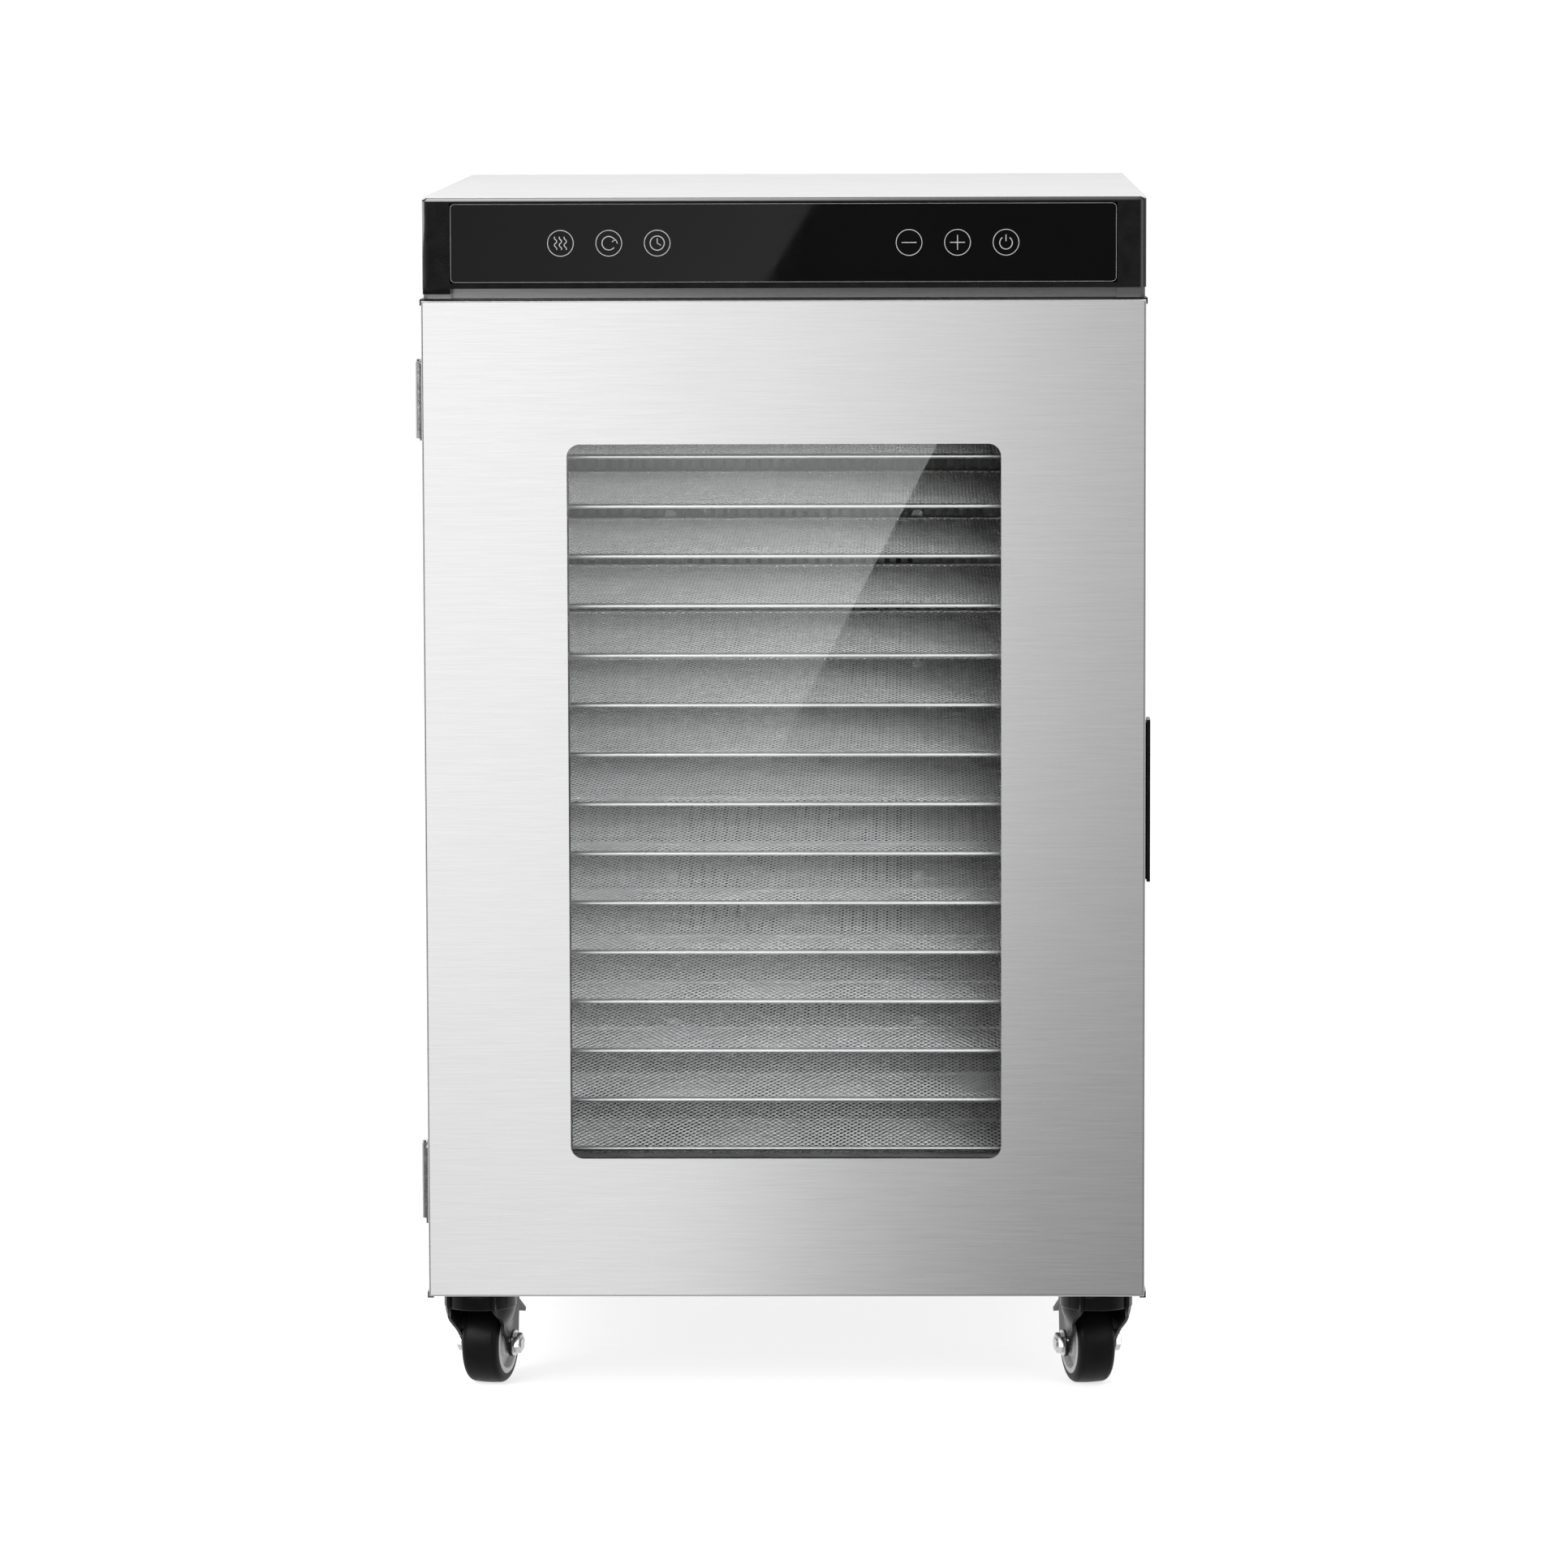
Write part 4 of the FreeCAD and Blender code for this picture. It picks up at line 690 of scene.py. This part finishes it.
def add_fascia(looks):
    """The housing round the touch panel, with a chamfer on its top rim."""
    source = nodes["control_fascia"]
    bm = bmesh.new()
    bm.from_mesh(source.data)
    bm.transform(Matrix.Scale(1 / MM, 4) @ source.matrix_world)
    bmesh.ops.remove_doubles(bm, verts=bm.verts[:], dist=0.001)
    bmesh.ops.dissolve_limit(
        bm, angle_limit=math.radians(0.5), verts=bm.verts[:], edges=bm.edges[:]
    )
    bmesh.ops.bevel(
        bm,
        geom=outer_rim(bm),
        offset=RIM_CHAMFER,
        offset_type="OFFSET",
        segments=1,
        profile=0.5,
        affect="EDGES",
        clamp_overlap=False,
    )
    mesh = finish_mesh("fascia_shell", bm, [looks["plastic"]], smooth=32.0)
    add_piece("fascia_shell", mesh, "root", ("control_fascia",))


# ---- dust filters -----------------------------------------------------------------------

FAN_HEIGHTS = (450.5, 272.5)
# from the rear panel's outer face to the filter, past the sheet and a little air
FILTER_DEPTH = 1.4
FILTER_HALF_WIDTH, FILTER_HALF_HEIGHT = 82.0, 50.0
FILTER_CORNER, FILTER_THICK, FILTER_BEVEL = 4.0, 4.0, 0.8


def add_filters(looks):
    """A black foam filter inside the rear panel for each fan's group of vents."""
    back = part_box("rear_panel")[1].y / MM - FILTER_DEPTH
    bm = bmesh.new()
    for height in FAN_HEIGHTS:
        low, high = height - FILTER_HALF_HEIGHT, height + FILTER_HALF_HEIGHT
        edges = (-FILTER_HALF_WIDTH, FILTER_HALF_WIDTH, low, high)
        outline = rounded_rectangle(*edges, FILTER_CORNER)
        slab(bm, outline, back - FILTER_THICK, back, bevel=FILTER_BEVEL)
    mesh = finish_mesh("vent_filters", bm, [looks["rubber"]], smooth=20.0)
    add_piece("vent_filters", mesh, "root")


# ---- casters ----------------------------------------------------------------------------

# each caster's name, its side, and how far back it is
CASTERS = (
    ("fl", -1, -221.0),
    ("fr", 1, -221.0),
    ("rl", -1, 230.0),
    ("rr", 1, 230.0),
)
# in a caster's own frame the stem is upright at the origin and the axle is TRAIL behind it
CASTER_X, CASTER_YAW, TRAIL, AXLE_Z = 196.0, 15.0, 20.0, 26.0
AXLE = (0.0, TRAIL, AXLE_Z)

# the tread's shoulder: its centre, as (radius, along the axle), and its rise and run
SHOULDER, SHOULDER_RISE, SHOULDER_RUN = (21.6, 7.6), 4.1, 4.3
# one side of the core, as (radius, along the axle), from the tread in to the bearing
CORE_SIDE = (
    (20.0, 11.6), (19.4, 12.2), (16.6, 12.2), (15.8, 11.4), (15.2, 8.4),
    (9.4, 8.0), (8.6, 11.6), (8.0, 12.0), (6.6, 12.0),
)
BEARING = ((6.6, 11.6), (6.6, 12.3), (4.1, 12.3), (4.1, 11.6))

# the fork's head, as (radius, height)
HEAD = (
    (20.6, 53.4), (22.6, 53.0), (23.0, 53.6), (23.0, 60.6), (22.2, 63.6), (20.4, 65.6),
    (17.6, 66.3), (9.0, 66.3), (8.6, 65.9), (5.3, 65.9), (5.3, 64.3), (19.6, 63.6), (20.6, 62.4),
)
HEAD_RADIUS = 22.6
# the legs: their distance from the wheel's middle, thickness, and the round end at the axle
LEG_X, LEG_THICK, EYE_RADIUS = 16.0, 2.0, 8.8
# where a leg begins to flare into the head, and over what height
FLARE_START, FLARE_RISE = 34.0, 20.0
# how far above the axle a leg is at its widest, and its edges there
LEG_RISE, LEG_FRONT, LEG_REAR = 27.0, -19.5, 31.0
LEG_HEIGHTS = (
    AXLE_Z - EYE_RADIUS + 0.25, 17.8, 18.8, 20.4, 22.6, 25.0, 28.0, 31.0, 34.0, 37.0, 40.0,
    43.0, 46.0, 49.0, 52.0, 55.0, 58.0, 61.0, 63.0,
)
LEG_COLUMNS = 14

# one end of the bolt, as (radius, along the axle); the hexagon's layers are (along, inset)
WASHER = ((4.2, 16.1), (8.2, 16.1), (8.4, 16.4), (8.2, 17.1), (4.2, 17.1))
DOME = ((3.9, 21.0), (3.8, 21.5), (3.0, 21.9), (1.2, 22.0), (0.2, 22.0))
HEXAGON_RADIUS, HEXAGON_TURN = 6.6, 15.0
HEXAGON = ((17.1, 0.7), (17.7, 0.0), (20.6, 0.0), (21.2, 0.8))
SHAFT = ((3.9, -17.0), (3.9, 17.0))


def mirrored(profile, side):
    """A profile of (radius, along the axle) on one side of the wheel."""
    return [(radius, along * side) for radius, along in profile]


def caster_place(side, y):
    spot = Matrix.Translation((CASTER_X * side * MM, y * MM, 0.0))
    return spot @ Matrix.Rotation(math.radians(CASTER_YAW * side), 4, "Z")


def tyre_mesh(material):
    """The tread: a crowned face and round shoulders."""
    half = [(20.0, 12.0), (21.6, 11.95)]
    for i in range(9):
        angle = math.radians(90 * i / 8)
        radius = SHOULDER[0] + SHOULDER_RISE * math.sin(angle)
        half.append((radius, SHOULDER[1] + SHOULDER_RUN * math.cos(angle)))
    half.append((25.95, 3.0))
    profile = [*mirrored(half, -1), (26.0, 0.0), *reversed(half)]
    bm = bmesh.new()
    lathe(bm, profile, 72, "x", AXLE, closed=True)
    return finish_mesh("wheel_tyre", bm, [material])


def core_mesh(materials):
    """The pale core with a dished web on each side, and the bearing in its middle."""
    profile = [*reversed(mirrored(CORE_SIDE, -1)), *CORE_SIDE]
    bm = bmesh.new()
    lathe(bm, profile, 64, "x", AXLE)
    ready = len(bm.faces)
    for side in (-1, 1):
        lathe(bm, mirrored(BEARING, side), 40, "x", AXLE, closed=True)
    bm.faces.ensure_lookup_table()
    for face in bm.faces[ready:]:
        face.material_index = 1
    return finish_mesh("wheel_core", bm, materials)


def ease(value):
    value = max(0.0, min(1.0, value))
    return value * value * (3 - 2 * value)


def leg_point(y, z, side, inward):
    """Where the fork's leg stands at a height: upright by the wheel, and out to the head."""
    head = math.sqrt(max(0.0, HEAD_RADIUS**2 - y * y))
    flare = ease((z - FLARE_START) / FLARE_RISE)
    x = LEG_X + max(0.0, head - LEG_X) * flare
    return Vector(((x - inward) * side, y, z))


def leg_limits(z):
    """The leg's front and rear edges at a height."""
    if z <= AXLE_Z:
        half = math.sqrt(max(0.04, EYE_RADIUS**2 - (z - AXLE_Z) ** 2))
        return TRAIL - half, TRAIL + half
    rise = min(1.0, (z - AXLE_Z) / LEG_RISE)
    front = (TRAIL - EYE_RADIUS) * (1 - rise) + LEG_FRONT * rise
    rear = (TRAIL + EYE_RADIUS) * (1 - rise) + LEG_REAR * rise
    return front, rear


def fork_mesh(materials):
    """The fork: a domed head, and two legs that flare into it."""
    bm = bmesh.new()
    lathe(bm, HEAD, 64, "z", closed=True)
    for side in (-1, 1):
        outer, inner = [], []
        for z in LEG_HEIGHTS:
            front, rear = leg_limits(z)
            width = rear - front
            spots = [front + width * i / LEG_COLUMNS for i in range(LEG_COLUMNS + 1)]
            outer.append([bm.verts.new(leg_point(y, z, side, 0.0)) for y in spots])
            inner.append([bm.verts.new(leg_point(y, z, side, LEG_THICK)) for y in spots])
        join_rows(bm, outer, around=False)
        join_rows(bm, inner, around=False)
        for column in (0, LEG_COLUMNS):
            edge = [(row_o[column], row_i[column]) for row_o, row_i in zip(outer, inner)]
            for (a, b), (c, d) in zip(edge, edge[1:]):
                bm.faces.new((a, b, d, c))
        for row_o, row_i in ((outer[0], inner[0]), (outer[-1], inner[-1])):
            join_rows(bm, [row_o, row_i], around=False)
    return finish_mesh("fork_steel", bm, materials, smooth=30.0)


def nut_ring(bm, inset, x):
    """Six corners round the axle at a place along it."""
    radius = HEXAGON_RADIUS - inset
    row = []
    for i in range(6):
        angle = math.radians(60 * i + HEXAGON_TURN)
        y = TRAIL + radius * math.cos(angle)
        row.append(bm.verts.new((x, y, AXLE_Z + radius * math.sin(angle))))
    return row


def bolt_mesh(material):
    """The wheel's bolt: a washer, a chamfered hexagon and a domed end on each side."""
    bm = bmesh.new()
    for side in (-1, 1):
        lathe(bm, mirrored(WASHER, side), 40, "x", AXLE, closed=True)
        join_rows(bm, [nut_ring(bm, inset, x * side) for x, inset in HEXAGON], ends=True)
        lathe(bm, mirrored(DOME, side), 32, "x", AXLE)
    lathe(bm, SHAFT, 32, "x", AXLE)
    return finish_mesh("caster_bolt", bm, [material], smooth=28.0)


def add_casters(looks):
    tyre = tyre_mesh(looks["tread"])
    core = core_mesh([looks["core"], looks["bright"]])
    fork = fork_mesh([looks["caster"]])
    bolt = bolt_mesh(looks["bright"])
    for name, side, y in CASTERS:
        at = caster_place(side, y)
        wheel, stem = f"wheel_{name}", f"caster_{name}"
        add_piece(f"tyre_{name}", tyre, wheel, (f"caster_wheel_{name}",), at)
        add_piece(f"core_{name}", core, wheel, (), at)
        add_piece(f"fork_{name}", fork, stem, (f"caster_fork_{name}",), at)
        add_piece(f"bolt_{name}", bolt, stem, (), at)


# ---- light and stage --------------------------------------------------------------------


# what the camera sees behind the object, and what lights the object from front and back
WORLD_SEEN, WORLD_FRONT, WORLD_BACK = 1.05, 0.10, 0.95


def add_world():
    """White for the camera; for the object, bright behind it and dim in front."""
    world = bpy.data.worlds.new("World")
    scene.world = world
    world.use_nodes = True
    tree = world.node_tree
    tree.nodes.clear()
    output = tree.nodes.new("ShaderNodeOutputWorld")
    seen = tree.nodes.new("ShaderNodeBackground")
    seen.inputs["Color"].default_value = (1.0, 1.0, 1.0, 1.0)
    seen.inputs["Strength"].default_value = WORLD_SEEN
    lit = tree.nodes.new("ShaderNodeBackground")
    place = tree.nodes.new("ShaderNodeTexCoord")
    split = tree.nodes.new("ShaderNodeSeparateXYZ")
    tree.links.new(place.outputs["Generated"], split.inputs["Vector"])
    behind = tree.nodes.new("ShaderNodeMapRange")
    tree.links.new(split.outputs["Y"], behind.inputs["Value"])
    behind.inputs["From Min"].default_value = -0.6
    behind.inputs["From Max"].default_value = 0.3
    behind.inputs["To Min"].default_value = WORLD_FRONT
    behind.inputs["To Max"].default_value = WORLD_BACK
    tree.links.new(behind.outputs["Result"], lit.inputs["Strength"])
    rays = tree.nodes.new("ShaderNodeLightPath")
    mix = tree.nodes.new("ShaderNodeMixShader")
    tree.links.new(rays.outputs["Is Camera Ray"], mix.inputs[0])
    tree.links.new(lit.outputs["Background"], mix.inputs[1])
    tree.links.new(seen.outputs["Background"], mix.inputs[2])
    tree.links.new(mix.outputs["Shader"], output.inputs["Surface"])


def place_lamp(name, data, at, turn, only=None, skip=None):
    """Adds a lamp that the camera can't see; it lights all pieces, or some, or all but some."""
    lamp = bpy.data.objects.new(name, data)
    lamp.matrix_world = Matrix.Translation(at) @ turn.to_4x4()
    scene.collection.objects.link(lamp)
    lamp.visible_camera = False
    if only or skip:
        group = bpy.data.collections.new(f"{name}_pieces")
        for piece in only or skip:
            group.objects.link(piece)
        lamp.light_linking.receiver_collection = group
        if skip:
            for entry in group.collection_objects:
                entry.light_linking.link_state = "EXCLUDE"


def area(name, size, radiance):
    """A rectangular lamp whose face has a given brightness."""
    data = bpy.data.lights.new(name, "AREA")
    data.shape = "RECTANGLE"
    data.size, data.size_y = size
    data.energy = radiance * math.pi * size[0] * size[1]
    return data


def add_light(name, at, target, size, radiance, only=None, skip=None):
    """A soft lamp turned to a point."""
    turn = (Vector(target) - Vector(at)).to_track_quat("-Z", "Y").to_matrix()
    place_lamp(name, area(name, size, radiance), at, turn, only, skip)


def stops_ramp(tree, place, stops):
    """A colour ramp over a place from 0 to 1, from stops of (place, brightness)."""
    ramp = tree.nodes.new("ShaderNodeValToRGB")
    tree.links.new(place, ramp.inputs["Fac"])
    elements = ramp.color_ramp.elements
    while len(elements) < len(stops):
        elements.new(0.5)
    for element, (spot, value) in zip(elements, stops):
        element.position = spot
        element.color = (value, value, value, 1.0)
    return ramp.outputs["Color"]


def fade_lamp(data, upper, lower, share):
    """Grades a lamp's face: two rows of stops from side to side, and the upper row's share."""
    data.use_nodes = True
    tree = data.node_tree
    place = tree.nodes.new("ShaderNodeNewGeometry").outputs["Parametric"]
    split = tree.nodes.new("ShaderNodeSeparateXYZ")
    tree.links.new(place, split.inputs["Vector"])
    mix = tree.nodes.new("ShaderNodeMix")
    tree.links.new(stops_ramp(tree, split.outputs[1], share), mix.inputs["Factor"])
    tree.links.new(stops_ramp(tree, split.outputs[0], lower), mix.inputs["A"])
    tree.links.new(stops_ramp(tree, split.outputs[0], upper), mix.inputs["B"])
    tree.links.new(mix.outputs["Result"], tree.nodes["Emission"].inputs["Strength"])


def add_card(name, at, lean, size, radiance, rows, only):
    """A graded card that faces the front, leaning sideways by some degrees."""
    angle = math.radians(lean)
    x_axis = Vector((-math.cos(angle), 0.0, math.sin(angle)))
    z_axis = Vector((0.0, -1.0, 0.0))
    turn = Matrix((x_axis, z_axis.cross(x_axis), z_axis)).transposed()
    data = area(name, size, radiance)
    fade_lamp(data, *rows)
    place_lamp(name, data, at, turn, only)


FLOOR_HALF, FLOOR_Z = 30000.0, -0.05


def add_floor():
    bm = bmesh.new()
    corners = ((-1, -1), (1, -1), (1, 1), (-1, 1))
    bm.faces.new([bm.verts.new((x * FLOOR_HALF, y * FLOOR_HALF, FLOOR_Z)) for x, y in corners])
    look = Look("floor_look", Roughness=1.0, Specular_IOR_Level=0.0)
    shade = look.noise(grey(0.6), detail=1.0)
    look.feed("Base Color", look.colours(shade, grey(0.70), grey(0.72)))
    look.shader.inputs["Emission Color"].default_value = (1.0, 1.0, 1.0, 1.0)
    look.shader.inputs["Emission Strength"].default_value = 0.72
    floor = bpy.data.objects.new("floor", finish_mesh("floor", bm, [look.material]))
    scene.collection.objects.link(floor)
    floor.visible_glossy = False
    floor.visible_shadow = False


# how far a card for a pane runs on past its top point
CARD_ABOVE = 0.06


def add_glass_card(name, glass, top, low, past, width, radiance, rows):
    """A card that a pane mirrors: its right edge passes two points and runs on past the low one."""
    top, low = Vector(top), Vector(low)
    edge = low - top
    lean = math.degrees(math.atan2(-edge.x, -edge.z))
    down = edge.normalized()
    left = Vector((-math.cos(math.radians(lean)), 0.0, math.sin(math.radians(lean))))
    length = edge.length + CARD_ABOVE + past
    at = top - down * CARD_ABOVE + down * (length / 2) + left * (width / 2)
    add_card(name, at, lean, (width, length), radiance, rows, [glass])


# rows of stops of (place, brightness) across a card or lamp
DARK = ((0.0, 0.0), (1.0, 0.0))
FULL = ((0.0, 1.0), (1.0, 1.0))
# what the door mirrors, from its right (0) to its left (1), near its top and near its foot
DOOR_UPPER = (
    (0.30, 0.40), (0.365, 0.47), (0.395, 0.57), (0.42, 0.66), (0.45, 0.76), (0.51, 0.86),
    (0.57, 0.96), (0.65, 1.04), (1.0, 1.12),
)
DOOR_LOWER = (
    (0.30, 0.10), (0.365, 0.15), (0.42, 0.20), (0.45, 0.24), (0.475, 0.30), (0.50, 0.43),
    (0.53, 0.70), (0.56, 0.80), (0.65, 0.74), (1.0, 0.66),
)
# how much of the upper row shows, from one end of the door's card to the other
DOOR_SHARE = ((0.34, 1.0), (0.52, 0.72), (0.67, 0.0))
RAIL_ROW = ((0.4, 0.35), (0.5, 0.4), (0.66, 1.0))
RIM_ROW = ((0.3, 1.0), (0.52, 0.5), (0.6, 0.1), (0.8, 0.0))
PANEL_ROW = ((0.0, 1.0), (0.15, 0.8), (0.5, 0.4), (1.0, 0.3))
WINDOW_SHARE = ((0.0, 1.0), (0.25, 1.0), (0.65, 0.0))
FRONT_CARD, FRONT_CARD_SIZE = (0.0, -1.2, 0.3), (1.8, 2.2)


def add_lights():
    """Soft lamps round the cabinet, and graded cards in front that its front mirrors."""
    shown = bpy.data.objects
    fascia = shown["fascia_shell"]
    dark = [nodes["door_glass"], shown["panel_glass"], fascia]
    rail = nodes["front_frame"]
    steel = [nodes["door_skin"], rail]
    inside = [piece for piece in shown if piece.name.endswith("_wire")]
    bars = [piece for piece in shown if piece.name.endswith("_bar")]
    add_light("key", (-1.9, -2.6, 1.9), (0.0, -0.2, 0.35), (1.6, 1.6), 8.0, skip=dark + steel)
    add_light("fill", (1.8, -2.4, 1.2), (0.0, -0.2, 0.35), (1.2, 1.2), 2.0, skip=dark + steel)
    add_light("over", (0.0, -0.2, 3.0), (0.0, 0.0, 0.7), (3.0, 3.0), 1.0)
    add_light("inside", (0.9, -3.4, 0.74), (0.0, -0.1, 0.36), (1.4, 0.6), 115.0, only=inside)
    turn = Vector((0.0, 0.0, -1.0)).to_track_quat("-Z", "Y").to_matrix()
    rim = area("rim", (1.2, 1.2), 14.0)
    fade_lamp(rim, RIM_ROW, DARK, FULL)
    place_lamp("rim", rim, (0.0, -0.3, 1.6), turn, only=[fascia])
    add_light("left_strip", (-1.2, 0.2, 0.7), (-0.2, -0.28, 0.7), (2.0, 1.0), 12.0, only=[fascia])
    add_light("right_strip", (1.0, -0.6, 0.7), (0.2, -0.28, 0.7), (0.5, 0.8), 4.0, only=[fascia])
    cards = (
        ("card_door", 1.0, (DOOR_UPPER, DOOR_LOWER, DOOR_SHARE), [nodes["door_skin"]]),
        ("card_bars", 1.1, (FULL, DARK, FULL), bars),
        ("card_rail", 0.6, (RAIL_ROW, DARK, FULL), [rail]),
    )
    for name, radiance, rows, only in cards:
        add_card(name, FRONT_CARD, 0.0, FRONT_CARD_SIZE, radiance, rows, only)
    add_glass_card(
        "card_window",
        nodes["door_glass"],
        top=(0.0984, -1.4, 0.5354),
        low=(-0.0528, -1.4, 0.2441),
        past=0.2,
        width=0.6,
        radiance=2.3,
        rows=(FULL, DARK, WINDOW_SHARE),
    )
    add_glass_card(
        "card_panel",
        shown["panel_glass"],
        top=(0.0021, -1.4, 0.7193),
        low=(-0.0337, -1.4, 0.6590),
        past=0.5,
        width=0.7,
        radiance=0.8,
        rows=(PANEL_ROW, DARK, FULL),
    )


def build():
    scene.view_settings.view_transform = "Standard"
    add_camera()
    looks = {**steel_looks(), **other_looks()}
    dress_cad(looks)
    add_trays(looks)
    add_touch_panel(looks)
    add_fascia(looks)
    add_filters(looks)
    add_casters(looks)
    add_world()
    add_floor()
    add_lights()


build()
